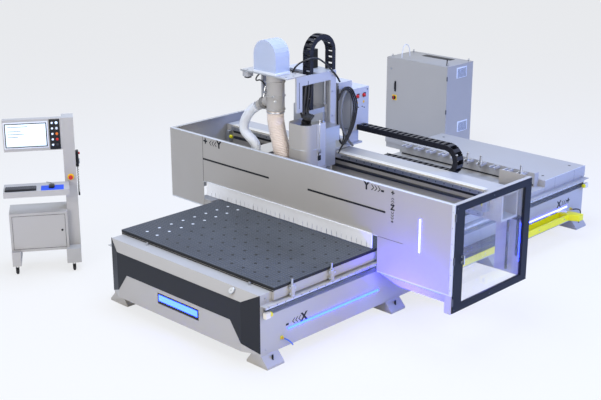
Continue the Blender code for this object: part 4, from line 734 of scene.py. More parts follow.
def build_curtain():
    """One strip curtain, slit into flaps that lean a little out of line."""
    low, high = node_box("curtain")
    width, height = high.y - low.y, high.z - low.z
    flaps, rows = 36, 4
    sheet = grid(flaps * 2, rows, (high.x - CURTAIN_SETBACK, (low.y + high.y) / 2, (low.z + high.z) / 2),
                 (width, height), rotation=(math.pi / 2, 0, -math.pi / 2))
    random.seed(4)
    bpy.ops.object.mode_set(mode="EDIT")
    bpy.ops.mesh.select_all(action="DESELECT")
    bpy.ops.mesh.select_mode(type="EDGE")
    bpy.ops.object.mode_set(mode="OBJECT")
    mesh = sheet.data
    step = width / flaps
    hem = ORIGIN.z + low.z + height * SLIT_SHARE
    start = ORIGIN.y + low.y
    for edge in mesh.edges:
        a, b = (mesh.vertices[index].co for index in edge.vertices)
        upright = abs(a.y - b.y) < 1e-6
        number = (a.y - start) / step
        on_slit = upright and abs(number - round(number)) < 0.01 and 0 < round(number) < flaps
        edge.select = on_slit and max(a.z, b.z) < hem + 0.001
    bpy.ops.object.mode_set(mode="EDIT")
    bpy.ops.mesh.edge_split(type="EDGE")
    bpy.ops.object.mode_set(mode="OBJECT")
    leans = [random.uniform(-0.004, 0.0035) for _ in range(flaps)]
    for face in mesh.polygons:
        number = min(flaps - 1, int((face.center.y - start) / step))
        for index in face.vertices:
            vertex = mesh.vertices[index]
            drop = max(0.0, (hem - vertex.co.z) / height)
            centre = start + (number + 0.5) * step
            vertex.co.x = at(high.x, 0, 0).x - CURTAIN_SETBACK + leans[number] * drop
            if vertex.co.z < hem - 0.001:
                off = max(-0.5, min(0.5, (vertex.co.y - centre) / step))
                vertex.co.y = centre + off * step * (1 - FLAP_TAPER * drop)
    pick(sheet)
    wall = sheet.modifiers.new("wall", "SOLIDIFY")
    wall.thickness = 0.0016
    wall.offset = 0
    bpy.ops.object.modifier_apply(modifier=wall.name)
    coat(sheet, FLAP)
    rail = block((high.x - 0.016, low.y, high.z - 0.012), (high.x - 0.0005, high.y, high.z), FLAP, 0.002)
    side = [block((high.x - 0.017, y, low.z + 0.003), (high.x - 0.0005, y + 0.012, high.z), FLAP, 0.002)
            for y in (low.y, high.y - 0.012)]
    frame_piece = keep("curtain_frame", "gantry", rail, side)
    keep("strip_curtain", "gantry", sheet)
    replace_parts(sheet, "curtain")


# ---------------------------------------------------------------- cable chains
def chain_link(width, thickness, pitch):
    """One open link at the origin: its run is along +X, its width along Y; two cheeks and two bars."""
    half, cheek = width / 2, thickness * 0.48
    parts = []
    for side in (-1, 1):
        near, far = sorted((side * half, side * (half - 0.007)))
        parts.append(block((-pitch * 0.54, near, -cheek), (pitch * 0.54, far, cheek), CHAIN,
                           thickness * 0.14, segments=1))
    for side in (-1, 1):
        low = side * thickness * 0.44 - thickness * 0.05
        parts.append(block((-pitch * 0.26, -half + 0.003, low),
                           (pitch * 0.26, half - 0.003, low + thickness * 0.10), CHAIN, 0.001, segments=1))
    link = merge(parts)
    link.data.transform(Matrix.Translation(-ORIGIN))
    return link


def straight_chain(node, axis, pitch):
    """A run of links that fills a CAD run along X, Y or Z."""
    low, high = node_box(node)
    size, middle = high - low, (low + high) / 2
    along = "XYZ".index(axis)
    count = max(2, round(size[along] / pitch))
    step = size[along] / count
    width, thickness = {"X": (size.y, size.z), "Y": (size.x, size.z), "Z": (size.y, size.x)}[axis]
    turn = {"X": Matrix.Identity(4), "Y": Matrix.Rotation(math.pi / 2, 4, "Z"),
            "Z": Matrix.Rotation(math.pi / 2, 4, "Y")}[axis]
    places = []
    for number in range(count):
        here = middle.copy()
        here[along] = low[along] + (number + 0.5) * step
        places.append(Matrix.Translation(at(*here)) @ turn)
    return merge(copies(chain_link(width, thickness, step), places))


def bent_chain(centre, radius, across, start, pitch, width, thickness):
    """Half a turn of links about an axis that runs across the chain."""
    count = max(5, round(math.pi * radius / pitch))
    step = math.pi / count
    places = []
    for number in range(count):
        angle = start + (number + 0.5) * step
        cosine, sine = math.cos(angle), math.sin(angle)
        if across == "Y":
            out, along, side = Vector((cosine, 0, sine)), Vector((-sine, 0, cosine)), Vector((0, 1, 0))
        else:
            out, along, side = Vector((0, cosine, sine)), Vector((0, -sine, cosine)), Vector((1, 0, 0))
        basis = Matrix((along, side, along.cross(side))).transposed().to_4x4()
        places.append(Matrix.Translation(at(*(centre + out * radius))) @ basis)
    return merge(copies(chain_link(width, thickness, radius * step * 1.06), places))


def build_chains():
    """Each chain is two straight runs of links and a bend between them."""
    for name, node, axis, pitch, first, second, way in (
            ("x_chain_links_lower", "x_chain_fixed", "X", 0.050, "root", "gantry", 1),
            ("x_chain_links_upper", "x_chain_lead", "X", 0.050, "gantry", "root", 1),
            ("y_chain_links_lower", "y_chain_fixed", "Y", 0.066, "gantry", "carriage", -1),
            ("y_chain_links_upper", "y_chain_lead", "Y", 0.066, "carriage", "gantry", -1),
            ("z_chain_links_rear", "z_chain_fixed", "Z", 0.056, "carriage", "head", 1),
            ("z_chain_links_front", "z_chain_lead", "Z", 0.056, "head", "carriage", 1)):
        run = straight_chain(node, axis, pitch)
        run.name = run.data.name = name
        low, high = node_box(node)
        along = "XYZ".index(axis)
        reach = Vector((0, 0, 0))
        reach[along] = way * 2 * (high - low)[along]
        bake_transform(run)
        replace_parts(run, node)
    for axis, along, outer, stack, across, start, pitch in (
            ("x", 0, 0, 2, "Y", -math.pi / 2, 0.040), ("y", 1, 1, 2, "X", math.pi / 2, 0.066),
            ("z", 2, 0, 0, "Y", 0, 0.056)):
        corners, lead = node_box(axis + "_chain_bend"), node_box(axis + "_chain_lead")
        size, centre = corners[1] - corners[0], (corners[0] + corners[1]) / 2
        centre[along] = corners[outer][along]
        thickness = (lead[1] - lead[0])[stack]
        bend = bent_chain(centre, (size[stack] - thickness) / 2, across, start, pitch,
                          size["XYZ".index(across)], thickness)
        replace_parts(keep(axis + "_chain_links_bend", axis + "_bend", bend), axis + "_chain_bend")


# ---------------------------------------------------------------- gantry
LEG_FACE = 1.2495


def build_gantry():
    panel = node_box("gantry_panel")
    face, top = panel[0].x, panel[1].z
    # The rims and the corner post carry the painted highlight colour.
    keep("panel_top_rim", "gantry",
         block((face - 0.002, -1.960, top - 0.004), (face + 0.020, 1.828, top + 0.0015), RIM_HIGHLIGHT, 0.0012))
    edges = [block((face - 0.0015, low, z - 0.012), (face + 0.014, high, z), RIM_HIGHLIGHT, 0.0012)
             for low, high, z in ((-1.958, -1.103, 0.517), (1.309, 1.828, 0.594))]
    edges.append(block((face - 0.0015, -1.100, 0.8535), (face + 0.012, 1.306, 0.8605), RIM_HIGHLIGHT, 0.001))
    keep("panel_lower_rims", "gantry", edges)
    keep("panel_corner_post", "gantry",
         block((face - 0.003, -1.9615, 0.508), (face + 0.012, -1.9315, 1.350), RIM_HIGHLIGHT, 0.002))
    screw = bolt((face + 0.001, -1.945, 0.56), FRONT, 0.006)
    keep("panel_post_screws", "gantry", copies(screw, [moved(dz=n * 0.145) for n in range(6)]))
    keep("door_hinge_barrels", "gantry",
         [turned((1.2925, -1.9655, z), TOP, [(0.007, 0), (0.009, 0.004), (0.009, 0.066), (0.007, 0.070)],
                 DARK_STEEL, 16) for z in (0.41, 0.80, 1.20)])

    beam = node_box("gantry_beam")[0].x
    keep("beam_cover_strip", "gantry",
         block((beam - 0.006, -1.70, 1.243), (beam + 0.060, 1.70, 1.2525), CREAM, 0.002))
    keep("beam_dark_strip", "gantry",
         block((beam - 0.0035, -1.70, 1.165), (beam + 0.001, 1.70, 1.195), DARK, 0.001))
    keep("beam_rack_bed", "gantry",
         block((beam - 0.022, -1.68, 1.105), (beam + 0.001, 1.68, 1.130), DARK_STEEL, 0.001))
    tooth = block((beam - 0.026, -1.678, 1.107), (beam - 0.021, -1.672, 1.128), DARK_STEEL, 0.001, segments=1)
    keep("beam_rack_teeth", "gantry", copies(tooth, [moved(dy=n * RACK_PITCH) for n in range(252)]))
    for name in ("upper", "lower"):
        low, high = node_box("y_rail_" + name)
        screw = turned((low.x + 0.0004, low.y + 0.04, (low.z + high.z) / 2), FRONT, RAIL_SCREW, DARK_STEEL, 8)
        keep(f"y_rail_{name}_screws", "gantry",
             copies(screw, [moved(dy=n * RAIL_SCREW_PITCH) for n in range(34)]))
    for name, y, turn in (("right", -1.745, 1), ("left", 1.735, -1)):
        keep("y_end_stop_" + name, "gantry",
             block((2.022, y - 0.022, 1.06), (2.0795, y + 0.022, 1.19), ALUMINIUM, 0.003))
        keep("y_bumper_" + name, "gantry",
             turned((2.048, y + turn * 0.022, 1.12), (0, turn, 0),
                    [(0.020, 0), (0.020, 0.018), (0.013, 0.026)], YELLOW, 20))
    keep("leg_bolts", "gantry",
         [bolt((x, side * LEG_FACE, z), (0, side, 0), 0.010)
          for side in (-1, 1) for x in (1.60, 1.78, 2.00, 2.20, 2.34) for z in (0.56, 0.92)])
    keep("leg_cover_right", "gantry",
         flat_shape([(1.60, 0.62), (2.30, 0.62), (2.30, 0.86), (2.18, 0.90), (1.72, 0.90), (1.60, 0.80)],
                    0.006, (0, -LEG_FACE, 0), (1, 0, 0), TOP, LIGHT))
    keep("bay_cable", "gantry",
         pipe([(2.10, -1.26, 0.90), (2.12, -1.32, 0.78), (2.05, -1.42, 0.62), (1.90, -1.50, 0.57),
               (1.70, -1.52, 0.56), (1.50, -1.50, 0.55), (1.36, -1.42, 0.56)], 0.009, CABLE))
    keep("inside_bracket", "gantry",
         block((2.340, -1.90, 0.938), (2.448, -1.72, 0.950), BLACK, 0.002),
         block((2.340, -1.90, 0.938), (2.350, -1.72, 0.975), BLACK, 0.002))
    keep("hanging_rods", "gantry",
         [turned((x, y, z), TOP,
                 [(0.010, 0), (0.013, 0.012), (0.013, h - 0.03), (0.008, h - 0.02), (0.008, h)], BLACK, 14)
          for x, y, z, h in ((2.40, -1.767, 0.40, 0.545), (2.43, -1.854, 0.55, 0.39))])


def build_door():
    front = node_box("door_frame")[0].y
    seal = [block((x, front + 0.004, 0.398), (x + 0.009, front + 0.020, 1.278), BLACK, 0.002)
            for x in (1.427, 2.354)]
    seal += [block((1.427, front + 0.004, z), (2.363, front + 0.020, z + 0.008), BLACK, 0.002)
             for z in (0.396, 1.272)]
    keep("window_seal", "door", seal)
    keep("door_screws", "door",
         [bolt((x, front + 0.0005, z), SIDE, 0.005, DARK_STEEL)
          for x in (1.325, 1.86, 2.435) for z in (0.365, 1.312)])
    keep("handle_feet", "door",
         [turned((1.411, front + 0.001, z), SIDE,
                 [(0.011, 0), (0.011, 0.004), (0.007, 0.005), (0.007, 0.020)], STEEL, 14)
          for z in (0.795, 0.851)])


# ---------------------------------------------------------------- hoses, carriage and head
DUCT, SPINDLE = (1.45, 0.387), (1.56, 0.08)  # X and Y of the duct's and the spindle's middle
GLAND_PITCH = 0.045


def ribbed(points, radius, pitch, depth, material, rounds=6, sides=6):
    """A ribbed hose: a dense line whose radius swells and shrinks along it."""
    knots = [Vector(point) for point in points]
    line = []
    for number in range(len(knots) - 1):
        before = knots[max(0, number - 1)]
        first, second = knots[number], knots[number + 1]
        after = knots[min(len(knots) - 1, number + 2)]
        steps = max(2, round((second - first).length / pitch * rounds))
        for step in range(steps):
            t = step / steps
            line.append(0.5 * (2 * first + (second - before) * t
                               + (2 * before - 5 * first + 4 * second - after) * t * t
                               + (3 * first - before - 3 * second + after) * t * t * t))
    line.append(knots[-1])
    reach, radii = 0.0, []
    for number, place in enumerate(line):
        reach += (place - line[number - 1]).length if number else 0.0
        radii.append(1 - depth * (0.5 - 0.5 * math.cos(2 * math.pi * reach / pitch)))
    return pipe(line, radius, material, sides=sides, radii=radii, smooth=False)


def stretch(name, piece):
    """Name a piece that runs between the carriage and the head, and bake its place into its mesh."""
    piece.name = piece.data.name = name
    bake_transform(piece)
    return piece


def build_hoses():
    main = ribbed([(1.45, 0.387, 1.7557), (1.45, 0.387, 1.666), (1.454, 0.369, 1.56), (1.46, 0.3485, 1.47),
                   (1.466, 0.328, 1.38), (1.47, 0.31, 1.29), (1.47, 0.31, 1.20)], 0.086, 0.017, 0.05, HOSE,
                  sides=8)
    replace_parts(stretch("ribbed_main_hose", main),
                "extraction_hose")
    branch = ribbed([(1.425, 0.620, 1.764), (1.425, 0.715, 1.700), (1.425, 0.800, 1.590),
                     (1.425, 0.815, 1.480), (1.450, 0.720, 1.385), (1.460, 0.690, 1.340),
                     (1.460, 0.690, 1.300)], 0.050, 0.012, 0.03, WHITE_HOSE)
    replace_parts(stretch("smooth_branch_hose", branch),
                "branch_hose")
    for name, body, place in (("upper", "carriage", (*DUCT, 1.735)), ("lower", "head", (1.47, 0.31, 1.203))):
        keep(name + "_hose_band", body,
             turned(place, TOP, [(0.0895, 0), (0.0905, 0.002), (0.0905, 0.012), (0.0895, 0.014)], STEEL, 40))


def build_carriage():
    build_duct()
    build_gate_valve()
    keep("valve_cable", "carriage",
         pipe([(1.44, 0.52, 1.985), (1.43, 0.57, 2.03), (1.44, 0.65, 2.02), (1.52, 0.69, 2.06),
               (1.64, 0.66, 2.10), (1.78, 0.56, 2.118)], 0.007, CABLE))
    keep("chain_cable", "carriage",
         pipe([(1.60, 0.30, 2.126), (1.60, 0.24, 2.20), (1.63, 0.15, 2.26), (1.72, 0.115, 2.275),
               (1.84, 0.108, 2.22), (1.95, 0.110, 2.13), (2.04, 0.115, 2.05), (2.10, 0.125, 1.98)],
              0.009, CABLE))
    hanging = []
    random.seed(21)
    for number in range(9):
        x, y = 1.60 + 0.035 * (number % 3), 0.135 + 0.02 * (number // 3)
        sway = random.uniform(-0.025, 0.025)
        hanging.append(pipe([(x + 0.05, y + 0.02, 2.105), (x + 0.03 + sway, y, 1.98),
                             (x + sway, y - 0.01, 1.86), (x - 0.02, y + sway * 0.5, 1.76),
                             (x - 0.03, y * 0.8, 1.70)],
                            random.choice((0.008, 0.011, 0.013)), CABLE, sides=2, steps=8))
    stretch("head_cable_loom", merge(hanging))
    keep("balance_cylinder", "carriage",
         turned((1.9555, 0.200, 1.760), TOP, [(0.020, 0), (0.024, 0.004), (0.024, 0.030), (0.021, 0.031),
                                             (0.021, 0.250), (0.024, 0.251), (0.024, 0.275), (0.016, 0.280)],
                TURNED, 24))
    keep("side_plate_bolts", "carriage",
         [bolt((1.99, y, z), (0, turn, 0), 0.008)
          for y, turn in ((0.1262, -1), (0.6198, 1)) for z in (1.25, 1.45, 1.65, 1.90, 2.06)])
    keep("motor_ribs", "carriage",
         [block((1.912, 0.337, z), (1.998, 0.423, z + 0.006), DARK, 0.003)
          for z in (2.140, 2.158, 2.176, 2.194)])
    keep("motor_plug", "carriage", block((1.975, 0.355, 2.225), (2.004, 0.405, 2.262), BLACK, 0.004))
    keep("side_plate_slots", "carriage",
         [block((x, 0.1235, 1.80), (x + 0.005, 0.1262, 2.06), DARK, 0.001) for x in (1.515, 1.640)])


def build_duct():
    """Flanges and fittings on the extraction duct, and what sits on the plate above it."""
    keep("duct_flanges", "carriage",
         [turned((*DUCT, z), TOP, [(0.094, 0), (0.100, 0.002), (0.100, 0.010), (0.094, 0.012)], LIGHT, 40)
          for z in (1.765, 1.90, 2.040)])
    keep("duct_flange_bolts", "carriage",
         [bolt((DUCT[0] + 0.0965 * math.cos(angle), DUCT[1] + 0.0965 * math.sin(angle), 2.051), TOP, 0.0045)
          for angle in (math.tau * number / 8 for number in range(8))])
    keep("hood_band", "carriage",
         block((1.352, 0.282, 2.1226), (1.548, 0.598, 2.150), WHITE_PLASTIC, 0.004))
    keep("plate_holes", "carriage",
         [turned((x, y, 2.1222), TOP, [(0.009, 0), (0.009, 0.0008)], BLACK, 16)
          for x, y in ((1.39, 0.18), (1.49, 0.18), (1.58, 0.24), (1.58, 0.52), (1.39, 0.72), (1.49, 0.72),
                       (1.58, 0.72))])
    keep("plate_edge", "carriage", block((1.358, 0.128, 2.1085), (1.366, 0.792, 2.1245), ALUMINIUM, 0.002))
    keep("hood_collar", "carriage",
         turned((1.45, 0.440, 2.1226), TOP, [(0.076, 0), (0.076, 0.030), (0.070, 0.034), (0.070, 0.060)],
                WHITE_PLASTIC, 36))
    keep("hanging_block", "carriage",
         block((1.372, 0.700, 2.052), (1.450, 0.775, 2.1100), COOL, 0.004),
         block((1.384, 0.712, 2.036), (1.438, 0.763, 2.053), DARK, 0.003))
    keep("air_fittings", "carriage",
         [turned(place, aim, [(0.009, 0), (0.009, 0.016), (0.013, 0.017), (0.013, 0.034), (0.008, 0.035),
                              (0.008, 0.050)], TURNED, 12)
          for place, aim in (((1.395, 0.33, 1.86), (-0.6, -0.5, 0.2)),
                             ((1.39, 0.34, 1.91), (-0.8, -0.2, 0.1)),
                             ((1.37, 0.43, 1.94), (-0.9, 0.3, 0.3)))])


def build_gate_valve():
    """The valve that closes the branch hose, with its bolt ring and its cylinder."""
    valve, axis = Vector((1.425, 0.520, 1.815)), Vector((0, 0.15, -0.08)).normalized()
    keep("gate_valve_body", "carriage",
         turned(valve - axis * 0.018, axis, [(0.060, 0), (0.064, 0.003), (0.064, 0.033), (0.060, 0.036)],
                CAST, 32))
    across = axis.cross(FRONT).normalized()
    keep("gate_valve_bolts", "carriage",
         [bolt(valve + axis * 0.018 + (across * math.cos(angle) + FRONT * math.sin(angle)) * 0.052,
               axis, 0.0042)
          for angle in (math.tau * (number + 0.5) / 8 for number in range(8))])
    keep("gate_valve_cylinder", "carriage",
         turned(valve + Vector((-0.005, 0, 0.055)), (0.25, 0, 1),
                [(0.014, 0), (0.017, 0.003), (0.017, 0.095), (0.012, 0.098), (0.012, 0.110)], TURNED, 20))


def build_junction_box():
    """Lid seam, switches and screws of the box on the carriage, its glands and its cables."""
    face = 2.26
    seams = [block((face - 0.0015, 0.112, z), (face, 0.388, z + 0.004), DARK, 0.0004) for z in (1.452, 1.859)]
    seams += [block((face - 0.0015, y, 1.452), (face, y + 0.004, 1.863), DARK, 0.0004)
              for y in (0.112, 0.384)]
    keep("box_lid_seam", "carriage", seams)
    for number, x in enumerate((2.335, 2.435)):
        keep(f"box_switch_plate_{number}", "carriage",
             block((x - 0.004, 0.0960, 1.770), (x + 0.036, 0.0999, 1.818), BLACK, 0.002))
        keep(f"box_switch_knob_{number}", "carriage",
             turned((x, 0.0968, 1.795), SIDE, [(0.017, 0), (0.018, 0.002), (0.016, 0.018), (0.013, 0.020)],
                    RED, 20))
    keep("box_marks", "carriage",
         [turned((x, 0.0998, 1.722), SIDE, [(0.013, 0), (0.013, 0.0020), (0.010, 0.003)], YELLOW_PLATE, 20)
          for x in (2.340, 2.440)])
    keep("box_screws", "carriage",
         [turned((x, 0.0998, z), SIDE, [(0.007, 0), (0.006, 0.0025)], BLACK, 12)
          for x, z in ((2.32, 1.66), (2.36, 1.675), (2.42, 1.675), (2.45, 1.66), (2.285, 1.47), (2.495, 1.47),
                       (2.285, 1.845), (2.495, 1.845))])
    keep("box_glands", "carriage",
         [turned((2.29 + n * GLAND_PITCH, 0.25, 1.4402), (0, 0, -1),
                 [(0.014, 0), (0.014, 0.010), (0.010, 0.011), (0.010, 0.024)], BLACK, 12) for n in range(5)])
    for number, (bulge, radius) in enumerate(((0.06, 0.007), (0.09, 0.009), (0.12, 0.006))):
        keep(f"box_cable_{number}", "carriage",
             pipe([(2.29 + number * GLAND_PITCH, 0.25, 1.425),
                   (2.28 + number * 0.04, 0.23, 1.36 - bulge * 0.4), (2.22, 0.20, 1.33 - bulge * 0.3),
                   (2.14, 0.17, 1.42), (2.08, 0.135, 1.60 + bulge), (2.065, 0.115, 1.82 + bulge)],
                  radius, CABLE))
    keep("box_flexible_conduit", "carriage",
         ribbed([(2.28, 0.14, 1.83), (2.20, 0.10, 1.88), (2.11, 0.085, 1.82), (2.07, 0.08, 1.66),
                 (2.10, 0.08, 1.50), (2.20, 0.09, 1.36), (2.28, 0.10, 1.285)], 0.013, 0.010, 0.12,
                CONDUIT, sides=4))
    for number, bulge in enumerate((0.0, 0.025, 0.05)):
        keep(f"box_loop_{number}", "carriage",
             pipe([(2.065, 0.115, 1.84 - bulge), (2.13, 0.07, 1.90 + bulge * 0.5),
                   (2.215 + bulge, 0.055, 1.80), (2.225 + bulge, 0.055, 1.62), (2.16, 0.06, 1.44 - bulge),
                   (2.09, 0.09, 1.30), (2.075, 0.115, 1.23)], 0.008, CABLE))


def build_head():
    keep("shroud_band", "head",
         pipe([(1.700, -0.0610, 1.42), (1.56, -0.0635, 1.42), (1.50, -0.055, 1.42), (1.44, -0.030, 1.42),
               (1.4175, 0.03, 1.42), (1.4175, 0.13, 1.42), (1.44, 0.19, 1.42), (1.50, 0.2210, 1.42)],
              0.003, ALUMINIUM))
    cables = []
    random.seed(9)
    for number in range(11):
        y = -0.02 + number * 0.021
        sway = random.uniform(-0.02, 0.02)
        cables.append(pipe([(1.56, y * 0.5 + 0.03, 1.665), (1.54 + sway, y * 0.45, 1.71 + sway * 0.5),
                            (1.60, y * 0.5 + 0.02, 1.735 + sway * 0.6), (1.66, 0.10, 1.695),
                            (1.70, 0.165, 1.672), (1.714 + sway * 0.5, 0.190, 1.70),
                            (1.714, 0.195 + sway * 0.5, 1.752)],
                           random.choice((0.006, 0.008, 0.010)), CABLE, sides=2, steps=6))
    keep("spindle_cables", "head", cables)
    keep("spindle_cap", "head",
         turned((*SPINDLE, 1.62), TOP, [(0.060, 0), (0.060, 0.020), (0.045, 0.030), (0.045, 0.055),
                                        (0.032, 0.060)], BLACK, 28))
    brush = []
    for number in range(40):
        angle = math.tau * number / 40
        x, y = SPINDLE[0] + 0.105 * math.cos(angle), SPINDLE[1] + 0.105 * math.sin(angle)
        brush.append(block((x - 0.004, y - 0.004, 1.150), (x + 0.004, y + 0.004, 1.192), BLACK, 0.0015,
                           turn=angle, segments=1))
    keep("shroud_brush", "head", brush)
    keep("spindle_rings", "head",
         [turned((*SPINDLE, z), TOP, [(0.0655, 0), (0.067, 0.003), (0.067, 0.012), (0.0655, 0.015)],
                 DARK_STEEL, 32) for z in (1.07, 1.12)])
    keep("shroud_panel", "head", block((1.575, -0.0660, 1.235), (1.690, -0.0605, 1.662), COOL, 0.002))
    keep("shroud_panel_rod", "head",
         turned((1.598, -0.0735, 1.380), TOP, [(0.004, 0), (0.004, 0.330), (0.002, 0.334)], STEEL, 12))
    keep("shroud_panel_valve", "head",
         turned((1.600, -0.0660, 1.395), SIDE, [(0.020, 0), (0.022, 0.003), (0.022, 0.010), (0.012, 0.012)],
                TURNED, 20))
    keep("shroud_panel_fitting", "head",
         block((1.578, -0.0705, 1.300), (1.622, -0.0655, 1.352), BLACK, 0.002),
         block((1.586, -0.0705, 1.352), (1.594, -0.0655, 1.392), BLACK, 0.001))
    low, high = node_box("bore_unit")
    keep("bore_seam", "bore",
         block((low.x - 0.001, low.y + 0.004, low.z + 0.150), (high.x + 0.001, low.y + 0.1355, low.z + 0.154),
               DARK, 0.0006))


# ---------------------------------------------------------------- tool rack and far end
FORKS = [(number - 4.5) * 0.18 for number in range(10)]  # Y of each fork of the tool rack
HOLDERS = (0, 3, 4)                                      # forks that hold a tool


def build_rack():
    for number in HOLDERS:
        y = FORKS[number]
        keep(f"tool_holder_{number}", "root",
             turned((4.047, y, 0.760), TOP,
                    [(0.0150, 0), (0.0150, 0.0140), (0.0300, 0.0145), (0.0300, 0.0200), (0.0190, 0.0202),
                     (0.0190, 0.0380), (0.0315, 0.0385), (0.0315, 0.0520), (0.0200, 0.0525),
                     (0.0110, 0.1100), (0.0140, 0.1102), (0.0140, 0.1220)], STEEL, 20))
        keep(f"tool_cutter_{number}", "root",
             turned((4.047, y, 0.745), TOP, [(0.006, 0), (0.006, 0.004), (0.008, 0.005), (0.008, 0.016)],
                    DARK_STEEL, 12))
    keep("fork_screws", "root",
         [bolt((4.106, y + off, 0.7974), TOP, 0.005) for y in FORKS for off in (-0.035, 0.035)])
    keep("rack_face_strip", "root", block((4.1183, -0.93, 0.655), (4.1198, 0.93, 0.672), DARK, 0.0005))
    keep("fork_grips", "root",
         [block((4.001, y + off - 0.004, 0.7745), (4.030, y + off + 0.004, 0.7985), FLAP, 0.002)
          for y in FORKS for off in (-0.0255, 0.0255)])
    low, high = node_box("rear_cover")
    keep("rear_cover_screws", "root",
         [bolt((x, low.y + 0.0005, 0.60), SIDE, 0.007) for x in (3.80, 4.20, 4.60, 4.96)])
    keep("rear_cover_seams", "root",
         [block((x - 0.001, -1.0306, 0.585), (x + 0.001, -1.0298, 0.712), DARK, 0.0003)
          for x in (4.40, 4.80)])
    keep("deck_lifting_holes", "root",
         [turned((x, y, high.z - 0.0005), TOP, [(0.016, 0), (0.016, 0.001), (0.013, 0.0015)], BLACK, 16)
          for x in (4.35, 4.90) for y in (-0.90, 0.90)])
    keep("deck_edge_strip", "root",
         # The strip's lighter colour is a painted highlight.
         block((4.205, low.y + 0.002, high.z - 0.001), (high.x - 0.005, low.y + 0.010, high.z + 0.002),
               RIM_HIGHLIGHT, 0.001))


def build_tray():
    low, high = node_box("x_chain_tray")
    keep("tray_lips", "root",
         [block((2.30, y - 0.003, 0.288), (4.50, y + 0.003, 0.294), YELLOW, 0.0015)
          for y in (low.y + 0.003, high.y - 0.003)])
    keep("tray_screws", "root",
         [bolt((x, low.y + 0.0005, 0.255), SIDE, 0.006) for x in (2.40, 2.90, 3.40, 3.90, 4.40)])
    wall = high.y - 0.0062
    slot = block((3.22, wall - 0.0015, 0.246), (3.262, wall, 0.254), DARK, 0.0005, segments=1)
    keep("tray_slots", "root", copies(slot, [moved(n * 0.060, 0, z) for n in range(20) for z in (0, 0.018)]))
    keep("tray_elbow", "root",
         flat_shape([(4.480, low.y), (4.535, -1.290), (4.620, -1.290), (4.620, -1.190), (4.575, high.y),
                     (4.480, high.y)], 0.070, (0, 0, 0.220), (1, 0, 0), (0, 1, 0), YELLOW, 0.004))
    keep("tray_mouth", "root", block((4.6195, -1.282, 0.228), (4.6215, -1.200, 0.282), BLACK, 0.0008))


# ---------------------------------------------------------------- control desk
DESK_TURN = -0.6035
DESK = Matrix.Translation((-0.1675, 2.16, 0)) @ Matrix.Rotation(DESK_TURN, 4, "Z")


def desk(x, y, z):
    """A place on the desk (across, back, up) in the machine's axes."""
    return DESK @ Vector((x, y, z))


def desk_way(x, y):
    """A direction on the desk in the machine's axes."""
    return DESK.to_3x3() @ Vector((x, y, 0))


DESK_FRONT, DESK_RIGHT = desk_way(0, -1), desk_way(1, 0)


def desk_block(low, high, material, bevel=0.003):
    """A rounded block turned with the desk."""
    low, high = Vector(low), Vector(high)
    middle, half = desk(*((low + high) / 2)), (high - low) / 2
    return block(middle - half, middle + half, material, bevel, turn=DESK_TURN)


def desk_turned(x, y, z, direction, profile, material, sides=20):
    """A turned piece placed on the desk; its direction is in the machine's axes."""
    return turned(desk(x, y, z), direction, profile, material, sides)


def build_screen():
    left, right = -0.315, 0.105
    keep("screen_bezel", "root",
         desk_block((left - 0.012, 0.094, 1.320), (right + 0.008, 0.1005, 1.595), WHITE_PLASTIC))
    keep("screen_frame", "root",
         desk_block((left, 0.0925, 1.333), (right - 0.004, 0.0965, 1.583), BLACK, 0.002))
    keep("screen_glass", "root",
         desk_block((left + 0.010, 0.0915, 1.343), (right - 0.014, 0.0935, 1.573), SCREEN, 0.001))
    keep("screen_rows", "root",
         [desk_block((left + 0.03, 0.0905, z), (left + 0.03 + reach, 0.0918, z + 0.006), CONDUIT, 0.0005)
          for z, reach in ((1.545, 0.20), (1.500, 0.13), (1.470, 0.16), (1.440, 0.10))])


def build_button_panel():
    """Two rows of five: lamps in turned rings on the left, buttons on the right."""
    left, right = 0.125, 0.231
    heights = [1.575 - number * 0.057 for number in range(5)]
    keep("button_panel", "root", desk_block((left, 0.0935, 1.298), (right, 0.1005, 1.612), BLACK, 0.003))
    keep("panel_lamps", "root",
         [desk_turned(left + 0.030, 0.0935, z, DESK_FRONT, [(0.009, 0), (0.009, 0.006), (0.006, 0.009)],
                      WHITE_LAMP) for z in heights])
    keep("panel_lamp_rings", "root",
         [desk_turned(left + 0.030, 0.0937, z, DESK_FRONT, [(0.012, 0), (0.012, 0.003), (0.009, 0.004)],
                      TURNED) for z in heights])
    for name, z, material in zip(("white", "green", "orange", "red", "black"), heights,
                                 (WHITE_LAMP, WHITE_PLASTIC, ORANGE, RED, KEY)):
        keep("panel_button_" + name, "root",
             desk_turned(left + 0.074, 0.0935, z, DESK_FRONT,
                         [(0.014, 0), (0.014, 0.003), (0.010, 0.0035), (0.010, 0.009), (0.007, 0.010)],
                         material))


